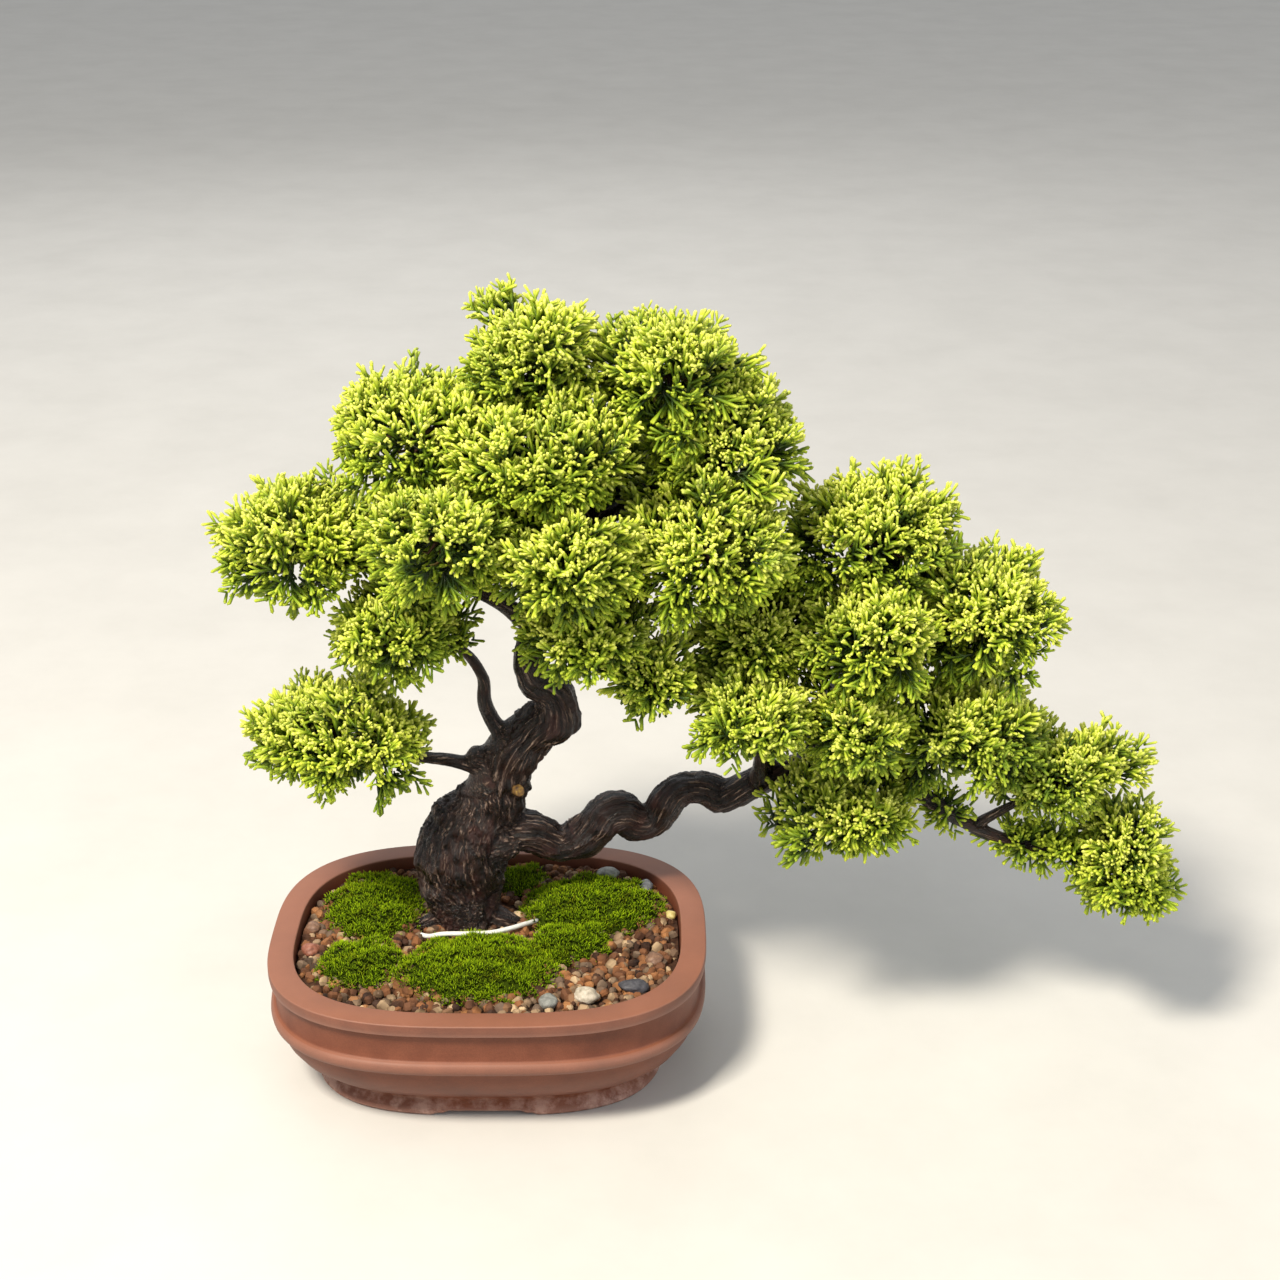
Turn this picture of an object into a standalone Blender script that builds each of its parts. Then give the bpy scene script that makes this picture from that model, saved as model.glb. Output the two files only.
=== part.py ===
"""A semi-cascade juniper bonsai in a rounded oblong stoneware pot.

Every piece is one closed solid, in metres, +Z up. Lengths below are in millimetres until MM
turns them into metres. The pieces are laid out round the pot's centre on the table plane, and
the last step moves them all together, so that the origin is the bottom centre of the whole box.
"""
import math
import random

import bmesh
import bpy
from mathutils import Matrix, Vector

MM = 0.001

# ---- pot: outline, then its profile as (inset from the rim's outline, height) ----
POT_LENGTH = 200.0
POT_DEPTH = 165.0
POT_HEIGHT = 60.0
POT_POWER = 3.0          # exponent of the rounded oblong outline
POT_SEGMENTS = 48
RIM_WIDTH = 11.5
WALL_INNER = RIM_WIDTH + 0.8
FLOOR_UNDERSIDE = 6.0
FLOOR_TOP = 12.0
POT_PROFILE = (
    (32.0, FLOOR_UNDERSIDE), (31.0, 0.0), (20.6, 0.0), (19.6, 1.6), (22.6, 6.6), (21.6, 10.0),
    (13.0, 16.0), (5.6, 25.0), (2.6, 33.6), (0.8, 34.6), (0.2, 37.0), (0.8, 39.4),
    (2.6, 40.4), (2.8, 54.0), (0.3, 55.0), (0.0, 59.0), (0.9, POT_HEIGHT),
    (RIM_WIDTH - 0.9, POT_HEIGHT), (RIM_WIDTH, POT_HEIGHT - 0.9), (WALL_INNER, 50.0),
    (14.5, 25.0), (20.0, 15.0), (34.0, FLOOR_TOP),
)
FOOT_ARCH_HEIGHT = 2.5
FOOT_ARCH_LENGTH = 46.0  # raised stretch between the front feet, and between the back feet
FOOT_ARCH_DEPTH = 40.0   # raised stretch between the feet at each end
DRAIN_OFFSET = 45.0
DRAIN_RADIUS = 11.0

# ---- soil, and what keeps it in ----
GAP = 0.35               # clearance between touching pieces
SOIL_TOP = 54.0
SOIL_BOTTOM = FLOOR_TOP + GAP
SCREEN_SIZE = 36.0
SCREEN_CELLS = 11        # odd: bars and holes alternate
SCREEN_THICKNESS = 1.0
SCREEN_CELL = SCREEN_SIZE / SCREEN_CELLS
WIRE_OFFSET = 2 * SCREEN_CELL  # from a drain hole's middle to the mesh openings that wires use
CLIP_RADIUS = 0.6
CLIP_FOOT = 13.0
TIE_RADIUS = 1.1

# ---- foliage and moss ----
PAD_GAP = 1.0            # between neighbouring pads of foliage
MOSS_GAP = 0.5
PAD_UNDERSIDE = 0.85     # a pad is a little flatter below than above
PAD_FULLNESS = 1.1       # the pads' half sizes below are measured to their sprigs' bases

# (name, centre, half sizes)
FOLIAGE = (
    ("apex_left", (30, 8, 325), (35, 34, 31)),
    ("apex_right", (74, 8, 322), (36, 34, 29)),
    ("crown_middle", (28, -18, 288), (36, 32, 27)),
    ("crown_left", (-24, 12, 292), (35, 34, 28)),
    ("left_shoulder", (-77, 6, 247), (33, 34, 34)),
    ("front_left", (-10, -28, 262), (32, 30, 26)),
    ("front_middle", (37, -35, 250), (32, 32, 27)),
    ("left_inner", (-35, -4, 209), (34, 32, 26)),
    ("left_low", (-66, 4, 153), (42, 36, 27)),
    ("centre_low", (47, -12, 212), (33, 32, 20)),
    ("centre_tassel", (75, -9, 188), (17, 18, 17)),
    ("crown_right", (104, 8, 290), (32, 36, 31)),
    ("right_front", (96, -15, 249), (35, 33, 32)),
    ("crown_back", (54, 56, 262), (38, 32, 28)),
    ("left_back", (-14, 55, 236), (36, 32, 26)),
    ("right_back", (98, 50, 238), (34, 32, 28)),
    ("joint", (119, 14, 200), (30, 34, 29)),
    ("cascade_top", (173, 20, 243), (36, 34, 31)),
    ("cascade_shoulder", (222, 14, 208), (33, 34, 31)),
    ("cascade_front", (172, -10, 208), (30, 28, 26)),
    ("cascade_inner", (122, -15, 174), (31, 30, 26)),
    ("cascade_middle", (161, -16, 168), (29, 27, 25)),
    ("cascade_low", (165, 0, 118), (34, 32, 24)),
    ("cascade_right", (212, 2, 160), (32, 32, 27)),
    ("cascade_far", (258, 3, 135), (34, 30, 25)),
    ("cascade_tip", (290, 0, 92), (25, 25, 32)),
    ("cascade_back", (186, 52, 188), (32, 28, 25)),
    ("cascade_heel", (226, 42, 150), (28, 26, 22)),
)

# (name, centre on the soil, half sizes)
MOSS = (
    ("back_left", (-55, 23), (23, 30, 13)),
    ("front_left", (-56, -25), (20, 21, 10)),
    ("front", (-5, -29), (38, 28, 11)),
    ("middle", (37, -7), (18, 18, 10)),
    ("right", (47, 22), (33, 27, 13)),
    ("back", (11, 51), (15, 13, 7)),
)

# (name, centre on the soil, half sizes, turn in degrees)
STONES = (
    ("pale_front", (46, -53), (6.0, 5.0, 4.5), 20),
    ("grey_front", (29, -58), (5.0, 4.2, 4.0), 70),
    ("dark_long", (67, -45), (7.5, 4.0, 3.8), 15),
    ("brown_right", (76, -22), (5.0, 4.0, 3.6), 50),
    ("yellow_right", (84, 19), (2.9, 2.9, 2.7), 10),
    ("grey_back", (54, 56), (6.0, 4.6, 4.0), 10),
    ("slate_back", (72, 44), (4.8, 4.0, 3.8), 100),
    ("red_left", (-81, -14), (4.8, 4.0, 3.6), 25),
    ("brown_left", (-82.5, 6), (3.9, 4.2, 3.4), 60),
)

# A limb is a row of (x, y, z, radius) from its root outwards.
TRUNK = (
    (-12, 15, 34, 9), (-12, 15, 46, 13.5), (-12.5, 16, 58, 15), (-13.5, 19, 72, 19),
    (-13.5, 21, 86, 21.5), (-9, 22, 100, 20), (1, 21, 115, 15.5), (5.5, 20, 129, 13.3),
    (12, 18, 143, 12.8), (23, 16, 154, 11.8), (31, 14, 162, 10.4), (31, 13, 173, 9),
    (22, 13, 183, 7.8), (20.5, 14, 197, 6.8), (28.5, 16, 215, 5.8), (39, 16, 238, 4.8),
    (47, 14, 265, 3.9), (50.5, 12, 292, 3), (54, 10, 312, 1.8),
)
LOW_BRANCH = (
    (0, 21, 101, 9), (18.5, 22, 99.5, 9.8), (29, 25, 91.5, 8.6), (38.5, 28, 90.5, 8.9),
    (47, 30, 96, 9.4), (53.5, 32, 102.5, 9.4), (60.5, 34, 102.5, 9.4), (68.5, 36, 96.5, 9),
    (75.5, 37, 96.5, 8.5), (81, 37, 104.5, 8), (89, 36, 113.5, 8), (99, 34, 115.5, 7.9),
    (109, 32, 112.5, 7.4), (125, 28, 122, 6.6), (145, 24, 132.5, 6), (166, 20, 135.5, 5.4),
    (188, 16, 128.5, 4.6), (211, 12, 114, 3.7), (234, 8, 103, 3.2), (258, 6, 97.5, 2.7),
    (280, 3, 92, 1.8), (292, 1, 88, 1.2),
)
LIMBS = (
    ((6, 19, 128, 4), (-13, 16, 138, 3.3), (-27, 12, 142, 2.8), (-44, 8, 147, 2.3), (-84, 4, 153, 1.2)),
    ((9, 18, 146, 4.5), (0, 16, 166, 3.6), (-1, 14, 182, 2.8), (-12, 6, 200, 2.2), (-36, -4, 210, 1.3)),
    ((24, 14, 204, 4.6), (2, 12, 222, 3.8), (-24, 9, 231, 3), (-50, 7, 236, 2.4), (-78, 6, 246, 1.3)),
    ((34, 16, 230, 4), (14, 14, 256, 3.2), (-8, 13, 276, 2.4), (-26, 12, 290, 1.3)),
    ((29, 16, 216, 4), (14, 0, 236, 3), (-8, -22, 258, 1.6)),
    ((36, 16, 231, 4), (38, -8, 240, 3), (37, -32, 250, 1.6)),
    ((46, 14, 258, 3.4), (38, -4, 274, 2.4), (28, -18, 288, 1.3)),
    ((49, 13, 280, 2.8), (38, 10, 302, 2.2), (30, 8, 322, 1.3)),
    ((50, 12, 290, 2.6), (62, 10, 308, 2), (74, 8, 322, 1.2)),
    ((42, 15, 246, 4), (66, 14, 266, 3), (88, 10, 280, 2.3), (104, 8, 290, 1.3)),
    ((38, 16, 236, 4), (62, 4, 240, 3), (82, -8, 246, 2.2), (96, -15, 249, 1.3)),
    ((21, 14, 199, 4), (36, 2, 206, 3), (52, -11, 210, 2), (66, -11, 202, 1.6), (75, -9, 190, 1.1)),
    ((44, 14, 254, 3.6), (50, 34, 260, 2.6), (54, 56, 264, 1.4)),
    ((28, 16, 214, 4), (8, 36, 226, 2.8), (-14, 55, 236, 1.4)),
    ((40, 16, 240, 3.8), (70, 34, 240, 2.6), (98, 50, 238, 1.4)),
    ((128, 27, 123, 5), (124, 26, 150, 4), (120, 19, 176, 3), (118, 14, 200, 1.6)),
    ((147, 24, 133, 5.2), (156, 24, 165, 4.4), (166, 23, 200, 3.4), (173, 21, 242, 1.6)),
    ((160, 24, 180, 3.6), (185, 20, 190, 2.8), (206, 17, 200, 2.2), (224, 14, 208, 1.3)),
    ((157, 24, 170, 3.6), (166, 8, 190, 2.4), (173, -9, 207, 1.3)),
    ((124, 27, 122, 4.6), (124, 8, 145, 3.2), (122, -14, 172, 1.6)),
    ((150, 23, 133, 4), (157, 6, 150, 2.8), (162, -14, 167, 1.5)),
    ((162, 20, 134, 3.6), (164, 10, 126, 2.6), (166, 0, 118, 1.4)),
    ((188, 16, 128, 3.4), (200, 10, 144, 2.5), (212, 3, 159, 1.4)),
    ((222, 10, 108.5, 2.8), (240, 6, 122, 2), (258, 3, 134, 1.2)),
    ((164, 23, 192, 3.2), (176, 40, 192, 2.2), (186, 53, 188, 1.3)),
    ((190, 16, 127, 3.2), (210, 32, 140, 2.2), (226, 42, 150, 1.3)),
)
ROOTS = (
    ((-14, 15, 58, 8), (-30, 12, 54, 6), (-44, 10, 44, 3)),
    ((-10, 12, 57, 7), (-6, 0, 53, 5), (-2, -12, 44, 3)),
    ((-8, 15, 58, 8), (8, 14, 54, 6), (22, 14, 44, 3)),
    ((-12, 18, 57, 8), (-8, 34, 53, 5), (-6, 46, 44, 3)),
)

# Route of the tie: up one drain hole, round the foot of the trunk, down the other.
TIE_ROUTE = (
    (-12, -WIRE_OFFSET, 3.6), (-27, -WIRE_OFFSET, 3.6), (-41, -WIRE_OFFSET, 3.8),
    (-DRAIN_OFFSET, -WIRE_OFFSET, 8), (-DRAIN_OFFSET, -WIRE_OFFSET, 14), (-45, -3, 30),
    (-42, 3, 46), (-36, 4, 57), (-28, -2, 60.5), (-19, -5.5, 60.5), (-9, -6, 60.8),
    (1, -5, 60.8), (10, 0, 60.2), (17, 7, 60), (22, 14, 60.2), (27, 20, 57), (34, 16, 46),
    (42, 2, 30), (DRAIN_OFFSET, -WIRE_OFFSET, 14), (DRAIN_OFFSET, -WIRE_OFFSET, 8),
    (41, -WIRE_OFFSET, 3.8), (22, -WIRE_OFFSET, 3.6), (4, -WIRE_OFFSET, 3.6),
)

TRUNK_SIDES = 10
BRANCH_SIDES = 8
LIMB_SIDES = 6
WIRE_SIDES = 6
TRUNK_SPACING = 9.0      # between the rings of a thick limb
LIMB_SPACING = 14.0      # between the rings of a thin one
TIE_SPACING = 5.5
CLIP_SPACING = 3.0


def clear_scene():
    """Removes whatever the file opened with."""
    for old in list(bpy.data.objects):
        bpy.data.objects.remove(old, do_unlink=True)


def make_material(name, colour, roughness):
    """A plain Principled material."""
    material = bpy.data.materials.new(name)
    material.use_nodes = True
    shader = material.node_tree.nodes["Principled BSDF"]
    shader.inputs["Base Color"].default_value = (*colour, 1.0)
    shader.inputs["Roughness"].default_value = roughness
    shader.inputs["Metallic"].default_value = 0.0
    return material


def add_object(name, bm, material, root):
    """Turns a mesh in millimetres into a metric object under the root empty."""
    bmesh.ops.scale(bm, vec=(MM, MM, MM), verts=bm.verts)
    bmesh.ops.recalc_face_normals(bm, faces=bm.faces)
    mesh = bpy.data.meshes.new(name)
    bm.to_mesh(mesh)
    bm.free()
    mesh.shade_smooth()
    mesh.set_sharp_from_angle(angle=math.radians(40))
    mesh.materials.append(material)
    piece = bpy.data.objects.new(name, mesh)
    piece.parent = root
    bpy.context.scene.collection.objects.link(piece)
    return piece


def as_guide(piece):
    """Marks an object as a cutter: it shapes others and is not a piece."""
    piece.hide_render = True
    piece.display_type = "WIRE"
    return piece


def add_boolean(piece, other, operation):
    """Adds an exact Boolean of another object."""
    modifier = piece.modifiers.new(operation.lower(), "BOOLEAN")
    modifier.operation = operation
    modifier.solver = "EXACT"
    modifier.object = other


def loft(bm, rings):
    """Skins rings of equal length in order, and closes both ends."""
    rows = [[bm.verts.new(point) for point in ring] for ring in rings]
    count = len(rows[0])
    for low, high in zip(rows, rows[1:]):
        for i in range(count):
            j = (i + 1) % count
            bm.faces.new((low[i], low[j], high[j], high[i]))
    bm.faces.new(reversed(rows[0]))
    bm.faces.new(rows[-1])


def oblong(inset, height):
    """The pot's rounded oblong outline, drawn in by an inset."""
    half_x = POT_LENGTH / 2 - inset
    half_y = POT_DEPTH / 2 - inset
    ring = []
    for i in range(POT_SEGMENTS):
        turn = 2 * math.pi * (i + 0.5) / POT_SEGMENTS
        c, s = math.cos(turn), math.sin(turn)
        x = math.copysign(abs(c) ** (2 / POT_POWER), c) * half_x
        y = math.copysign(abs(s) ** (2 / POT_POWER), s) * half_y
        ring.append((x, y, height))
    return ring


def spline(points, spacing):
    """Points at an even spacing along the smooth curve through (x, y, z, ...) rows."""
    rows = [Vector(row) for row in points]
    rows = [2 * rows[0] - rows[1], *rows, 2 * rows[-1] - rows[-2]]
    path = []
    for a, b, c, d in zip(rows, rows[1:], rows[2:], rows[3:]):
        steps = max(1, round((c - b).length / spacing))
        for k in range(steps):
            t = k / steps
            path.append(0.5 * (2 * b + (c - a) * t + (2 * a - 5 * b + 4 * c - d) * t ** 2
                               + (3 * b - a - 3 * c + d) * t ** 3))
    path.append(rows[-2])
    return path


def tube_rings(path, radii, sides):
    """Rings square to a path, turned as little as possible from one to the next."""
    rings = []
    side = None
    last = len(path) - 1
    for i, centre in enumerate(path):
        along = (path[min(i + 1, last)] - path[max(i - 1, 0)]).normalized()
        if side is None:
            side = along.orthogonal()
        side = (side - along * side.dot(along)).normalized()
        up = along.cross(side)
        ring = []
        for k in range(sides):
            turn = 2 * math.pi * k / sides
            ring.append(centre + radii[i] * (math.cos(turn) * side + math.sin(turn) * up))
        rings.append(ring)
    return rings


def limb_mesh(limb, sides, spacing, margin):
    """A tapered limb, grown all over by a margin."""
    samples = spline(limb, spacing)
    path = [sample.xyz for sample in samples]
    radii = [sample[3] + margin for sample in samples]
    if margin:
        path.insert(0, path[0] + (path[0] - path[1]).normalized() * margin)
        path.append(path[-1] + (path[-1] - path[-2]).normalized() * margin)
        radii = [radii[0], *radii, radii[-1]]
    bm = bmesh.new()
    loft(bm, tube_rings(path, radii, sides))
    return bm


def build_tree(name, margin, material, root):
    """Trunk, low branch, limbs and roots as one body, grown all over by a margin."""
    tree = add_object(name, limb_mesh(TRUNK, TRUNK_SIDES, TRUNK_SPACING, margin), material, root)
    plans = [(LOW_BRANCH, BRANCH_SIDES, TRUNK_SPACING)]
    plans += [(limb, LIMB_SIDES, LIMB_SPACING) for limb in LIMBS + ROOTS]
    for index, (limb, sides, spacing) in enumerate(plans):
        mesh = limb_mesh(limb, sides, spacing, margin)
        guide = as_guide(add_object(f"{name}_limb_{index}", mesh, material, root))
        add_boolean(tree, guide, "UNION")
    return tree


def build_pot(material, root):
    """The pot: rim, bead, belly, feet with raised stretches between, and two drain holes."""
    bm = bmesh.new()
    loft(bm, [oblong(inset, height) for inset, height in POT_PROFILE])
    pot = add_object("pot", bm, material, root)
    arches = (
        (FOOT_ARCH_LENGTH, POT_DEPTH, "arch_front_back"),
        (POT_LENGTH, FOOT_ARCH_DEPTH, "arch_ends"),
    )
    for length, depth, name in arches:
        bm = bmesh.new()
        size = Matrix.Diagonal((length, depth, 2 * FOOT_ARCH_HEIGHT, 1.0))
        bmesh.ops.create_cube(bm, size=1.0, matrix=size)
        add_boolean(pot, as_guide(add_object(name, bm, material, root)), "DIFFERENCE")
    for side in (-1, 1):
        bm = bmesh.new()
        place = Matrix.Translation((side * DRAIN_OFFSET, 0, FLOOR_TOP))
        bmesh.ops.create_cone(bm, cap_ends=True, segments=20, radius1=DRAIN_RADIUS,
                              radius2=DRAIN_RADIUS, depth=2 * FLOOR_TOP, matrix=place)
        add_boolean(pot, as_guide(add_object(f"drain_{side}", bm, material, root)), "DIFFERENCE")
    return pot


def screen_mesh(side):
    """A square mesh that lies over a drain hole: every other cell of a grid is open."""
    bm = bmesh.new()
    level = FLOOR_TOP + GAP
    place = Matrix.Translation((side * DRAIN_OFFSET, 0, level))
    bmesh.ops.create_grid(bm, x_segments=SCREEN_CELLS, y_segments=SCREEN_CELLS,
                          size=SCREEN_SIZE / 2, matrix=place)
    open_cells = []
    for face in bm.faces:
        centre = face.calc_center_median()
        column = math.floor((centre.x - side * DRAIN_OFFSET + SCREEN_SIZE / 2) / SCREEN_CELL)
        row = math.floor((centre.y + SCREEN_SIZE / 2) / SCREEN_CELL)
        if column % 2 and row % 2:
            open_cells.append(face)
    bmesh.ops.delete(bm, geom=open_cells, context="FACES")
    raised = bmesh.ops.extrude_face_region(bm, geom=bm.faces[:], use_keep_orig=True)
    tops = [item for item in raised["geom"] if isinstance(item, bmesh.types.BMVert)]
    bmesh.ops.translate(bm, vec=(0, 0, SCREEN_THICKNESS), verts=tops)
    return bm


def wire_mesh(route, radius, spacing):
    """A round wire along the smooth curve through a route."""
    path = spline(route, spacing)
    bm = bmesh.new()
    loft(bm, tube_rings(path, [radius] * len(path), WIRE_SIDES))
    return bm


def clip_route(side):
    """A staple: over the screen, down through it and the hole, bent out under the floor."""
    x = side * DRAIN_OFFSET
    y = WIRE_OFFSET
    top = FLOOR_TOP + GAP + SCREEN_THICKNESS + GAP + CLIP_RADIUS
    low = FLOOR_UNDERSIDE - GAP - CLIP_RADIUS
    half = ((CLIP_FOOT, low), (WIRE_OFFSET + 1.4, low), (WIRE_OFFSET + 0.1, low + 1.6),
            (WIRE_OFFSET, FLOOR_TOP), (WIRE_OFFSET - 0.1, top - 0.6), (WIRE_OFFSET - 1.2, top))
    left = [(x - reach, y, height) for reach, height in half]
    right = [(x + reach, y, height) for reach, height in reversed(half)]
    return left + right


def build_soil(material, root, cutters):
    """The soil body: fills the pot, with room for what stands and lies in it."""
    profile = [(inset, height) for inset, height in POT_PROFILE[-4:]]
    rings = [oblong(inset + GAP, max(height, SOIL_BOTTOM)) for inset, height in reversed(profile)]
    rings[0] = oblong(profile[-1][0] + GAP, SOIL_BOTTOM)
    rings.append(oblong(WALL_INNER + GAP, SOIL_TOP))
    bm = bmesh.new()
    loft(bm, rings)
    soil = add_object("soil", bm, material, root)
    for side in (-1, 1):
        bm = bmesh.new()
        height = SCREEN_THICKNESS + 2 * GAP + 2 * CLIP_RADIUS + GAP
        size = SCREEN_SIZE + 2 * GAP
        place = Matrix.Translation((side * DRAIN_OFFSET, 0, FLOOR_TOP + height / 2))
        bmesh.ops.create_cube(bm, size=1.0, matrix=place @ Matrix.Diagonal((size, size, height, 1)))
        cutters.append(as_guide(add_object(f"screen_room_{side}", bm, material, root)))
    for cutter in cutters:
        add_boolean(soil, cutter, "DIFFERENCE")
    return soil


def ellipsoid(centre, half, columns, rows, underside=1.0):
    """An ellipsoid whose lower half is flattened by a factor."""
    bm = bmesh.new()
    bmesh.ops.create_uvsphere(bm, u_segments=columns, v_segments=rows, radius=1.0)
    for vert in bm.verts:
        if vert.co.z < 0:
            vert.co.z *= underside
    bmesh.ops.scale(bm, vec=half, verts=bm.verts)
    bmesh.ops.translate(bm, vec=centre, verts=bm.verts)
    return bm


def cut_flat(bm, point, normal):
    """Cuts away what lies past a plane and closes the cut."""
    cut = bmesh.ops.bisect_plane(bm, geom=bm.verts[:] + bm.edges[:] + bm.faces[:], dist=1e-5,
                                 plane_co=point, plane_no=normal, clear_outer=True)
    rim = [item for item in cut["geom_cut"] if isinstance(item, bmesh.types.BMEdge)]
    if rim:
        bmesh.ops.edgeloop_fill(bm, edges=rim)


def part_neighbours(shapes, gap):
    """Cuts overlapping rounded shapes apart along flat faces, half a gap from each."""
    for name, centre, half, bm in shapes:
        for other, other_centre, other_half, _ in shapes:
            between = other_centre - centre
            apart = any(abs(between[i]) > half[i] + other_half[i] + gap for i in range(3))
            if other == name or apart:
                continue
            along = between.normalized()
            reach = 1 / Vector([along[i] / half[i] for i in range(3)]).length
            other_reach = 1 / Vector([along[i] / other_half[i] for i in range(3)]).length
            meet = centre + between * reach / (reach + other_reach)
            mean = [(half[i] + other_half[i]) / 2 for i in range(3)]
            normal = Vector([between[i] / mean[i] ** 2 for i in range(3)]).normalized()
            cut_flat(bm, meet - normal * gap / 2, normal)


def build_foliage(material, root, clearance):
    """The pads of foliage, parted from each other and pierced by the limbs that carry them."""
    shapes = []
    for name, centre, half in FOLIAGE:
        centre, half = Vector(centre), Vector(half) * PAD_FULLNESS
        shapes.append((name, centre, half, ellipsoid(centre, half, 12, 7, PAD_UNDERSIDE)))
    part_neighbours(shapes, PAD_GAP)
    for name, _, _, bm in shapes:
        add_boolean(add_object(f"foliage_{name}", bm, material, root), clearance, "DIFFERENCE")


def build_moss(material, root, cutters):
    """Low mounds of moss on the soil, clear of the trunk's foot and the tie."""
    base = SOIL_TOP + GAP
    shapes = []
    for name, (x, y), half in MOSS:
        centre, half = Vector((x, y, base)), Vector(half)
        shapes.append((name, centre, half, ellipsoid(centre, half, 14, 9)))
    part_neighbours(shapes, MOSS_GAP)
    for name, centre, _, bm in shapes:
        cut_flat(bm, centre, (0, 0, -1))
        mound = add_object(f"moss_{name}", bm, material, root)
        for cutter in cutters:
            add_boolean(mound, cutter, "DIFFERENCE")


def build_stones(root):
    """Loose stones on the soil, each a little uneven and bedded flat."""
    dice = random.Random(7)
    base = SOIL_TOP + GAP
    for name, (x, y), half, turn in STONES:
        bm = bmesh.new()
        bmesh.ops.create_icosphere(bm, subdivisions=2, radius=1.0)
        for vert in bm.verts:
            vert.co *= dice.uniform(0.9, 1.0)
        bmesh.ops.scale(bm, vec=half, verts=bm.verts)
        bmesh.ops.rotate(bm, verts=bm.verts, matrix=Matrix.Rotation(math.radians(turn), 3, "Z"))
        centre = Vector((x, y, base + 0.45 * half[2]))
        bmesh.ops.translate(bm, vec=centre, verts=bm.verts)
        cut_flat(bm, (x, y, base), (0, 0, -1))
        shade = STONE_COLOURS[name.split("_")[0]]
        add_object(f"stone_{name}", bm, make_material(f"stone_{name}", shade, 0.7), root)


STONE_COLOURS = {
    "pale": (0.52, 0.46, 0.36), "grey": (0.26, 0.27, 0.27), "dark": (0.07, 0.07, 0.08),
    "brown": (0.22, 0.12, 0.07), "yellow": (0.55, 0.45, 0.18), "slate": (0.16, 0.17, 0.19),
    "red": (0.30, 0.10, 0.06),
}


def centre_on_base(root):
    """Moves everything so that the origin is the bottom centre of the whole box."""
    bpy.context.view_layer.update()
    graph = bpy.context.evaluated_depsgraph_get()
    low = Vector((math.inf,) * 3)
    high = -low
    for piece in bpy.context.scene.objects:
        if piece.type != "MESH" or piece.hide_render:
            continue
        mesh = piece.evaluated_get(graph).data
        for vert in mesh.vertices:
            place = piece.matrix_world @ vert.co
            low = Vector(map(min, low, place))
            high = Vector(map(max, high, place))
    root.location = (-(low.x + high.x) / 2, -(low.y + high.y) / 2, -low.z)


def main():
    """Builds the bonsai, piece by piece."""
    clear_scene()
    root = bpy.data.objects.new("bonsai", None)
    bpy.context.scene.collection.objects.link(root)

    clay = make_material("stoneware", (0.26, 0.09, 0.055), 0.6)
    bark = make_material("bark", (0.05, 0.028, 0.02), 0.5)
    leaf = make_material("juniper_foliage", (0.22, 0.40, 0.05), 0.55)
    moss = make_material("moss", (0.18, 0.33, 0.02), 0.9)
    grit = make_material("soil", (0.20, 0.10, 0.06), 0.9)
    netting = make_material("netting", (0.03, 0.03, 0.03), 0.5)
    staple = make_material("staple_wire", (0.55, 0.56, 0.57), 0.4)
    coated = make_material("coated_wire", (0.80, 0.80, 0.78), 0.4)

    build_pot(clay, root)
    build_tree("trunk_and_branches", 0.0, bark, root)
    clearance = as_guide(build_tree("tree_room", GAP, bark, root))
    add_object("anchor_tie", wire_mesh(TIE_ROUTE, TIE_RADIUS, TIE_SPACING), coated, root)
    tie_room = wire_mesh(TIE_ROUTE, TIE_RADIUS + GAP, TIE_SPACING)
    tie_room = as_guide(add_object("tie_room", tie_room, coated, root))
    for side, word in ((-1, "left"), (1, "right")):
        add_object(f"drain_screen_{word}", screen_mesh(side), netting, root)
        clip = wire_mesh(clip_route(side), CLIP_RADIUS, CLIP_SPACING)
        add_object(f"screen_clip_{word}", clip, staple, root)
    build_soil(grit, root, [clearance, tie_room])
    build_moss(moss, root, [clearance, tie_room])
    build_stones(root)
    build_foliage(leaf, root, clearance)
    centre_on_base(root)


main()
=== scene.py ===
"""The looks of a juniper bonsai in a rounded oblong pot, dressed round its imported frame."""
import logging
import math
import random
from dataclasses import dataclass, field
from enum import Enum

import bmesh
import bpy
from mathutils import Matrix, Vector, kdtree, noise


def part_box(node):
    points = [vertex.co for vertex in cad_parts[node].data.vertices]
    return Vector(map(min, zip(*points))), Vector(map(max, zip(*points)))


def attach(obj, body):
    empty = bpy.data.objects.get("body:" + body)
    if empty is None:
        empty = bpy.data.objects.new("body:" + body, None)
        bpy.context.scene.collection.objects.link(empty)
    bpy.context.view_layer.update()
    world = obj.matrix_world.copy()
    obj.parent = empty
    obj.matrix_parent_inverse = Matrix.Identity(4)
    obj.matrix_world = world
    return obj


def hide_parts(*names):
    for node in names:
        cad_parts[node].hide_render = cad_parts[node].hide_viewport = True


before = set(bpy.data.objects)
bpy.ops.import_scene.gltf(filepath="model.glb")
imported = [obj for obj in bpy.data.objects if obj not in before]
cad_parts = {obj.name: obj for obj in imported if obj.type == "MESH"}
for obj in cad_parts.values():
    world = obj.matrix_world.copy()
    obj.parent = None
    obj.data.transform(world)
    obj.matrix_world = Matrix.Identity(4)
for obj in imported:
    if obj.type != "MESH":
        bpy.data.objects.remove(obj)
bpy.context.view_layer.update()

LOG = logging.getLogger("bonsai")
MM = 0.001
BODY = "root"
UV_NAME = "OFBake"
GRAIN = "grain"
UP = Vector((0.0, 0.0, 1.0))


def pot_centre() -> Vector:
    """The point under the middle of the pot, on the plane that it stands on."""
    low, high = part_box("pot")
    return Vector(((low.x + high.x) / 2, (low.y + high.y) / 2, low.z))


CENTRE = pot_centre()


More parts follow.
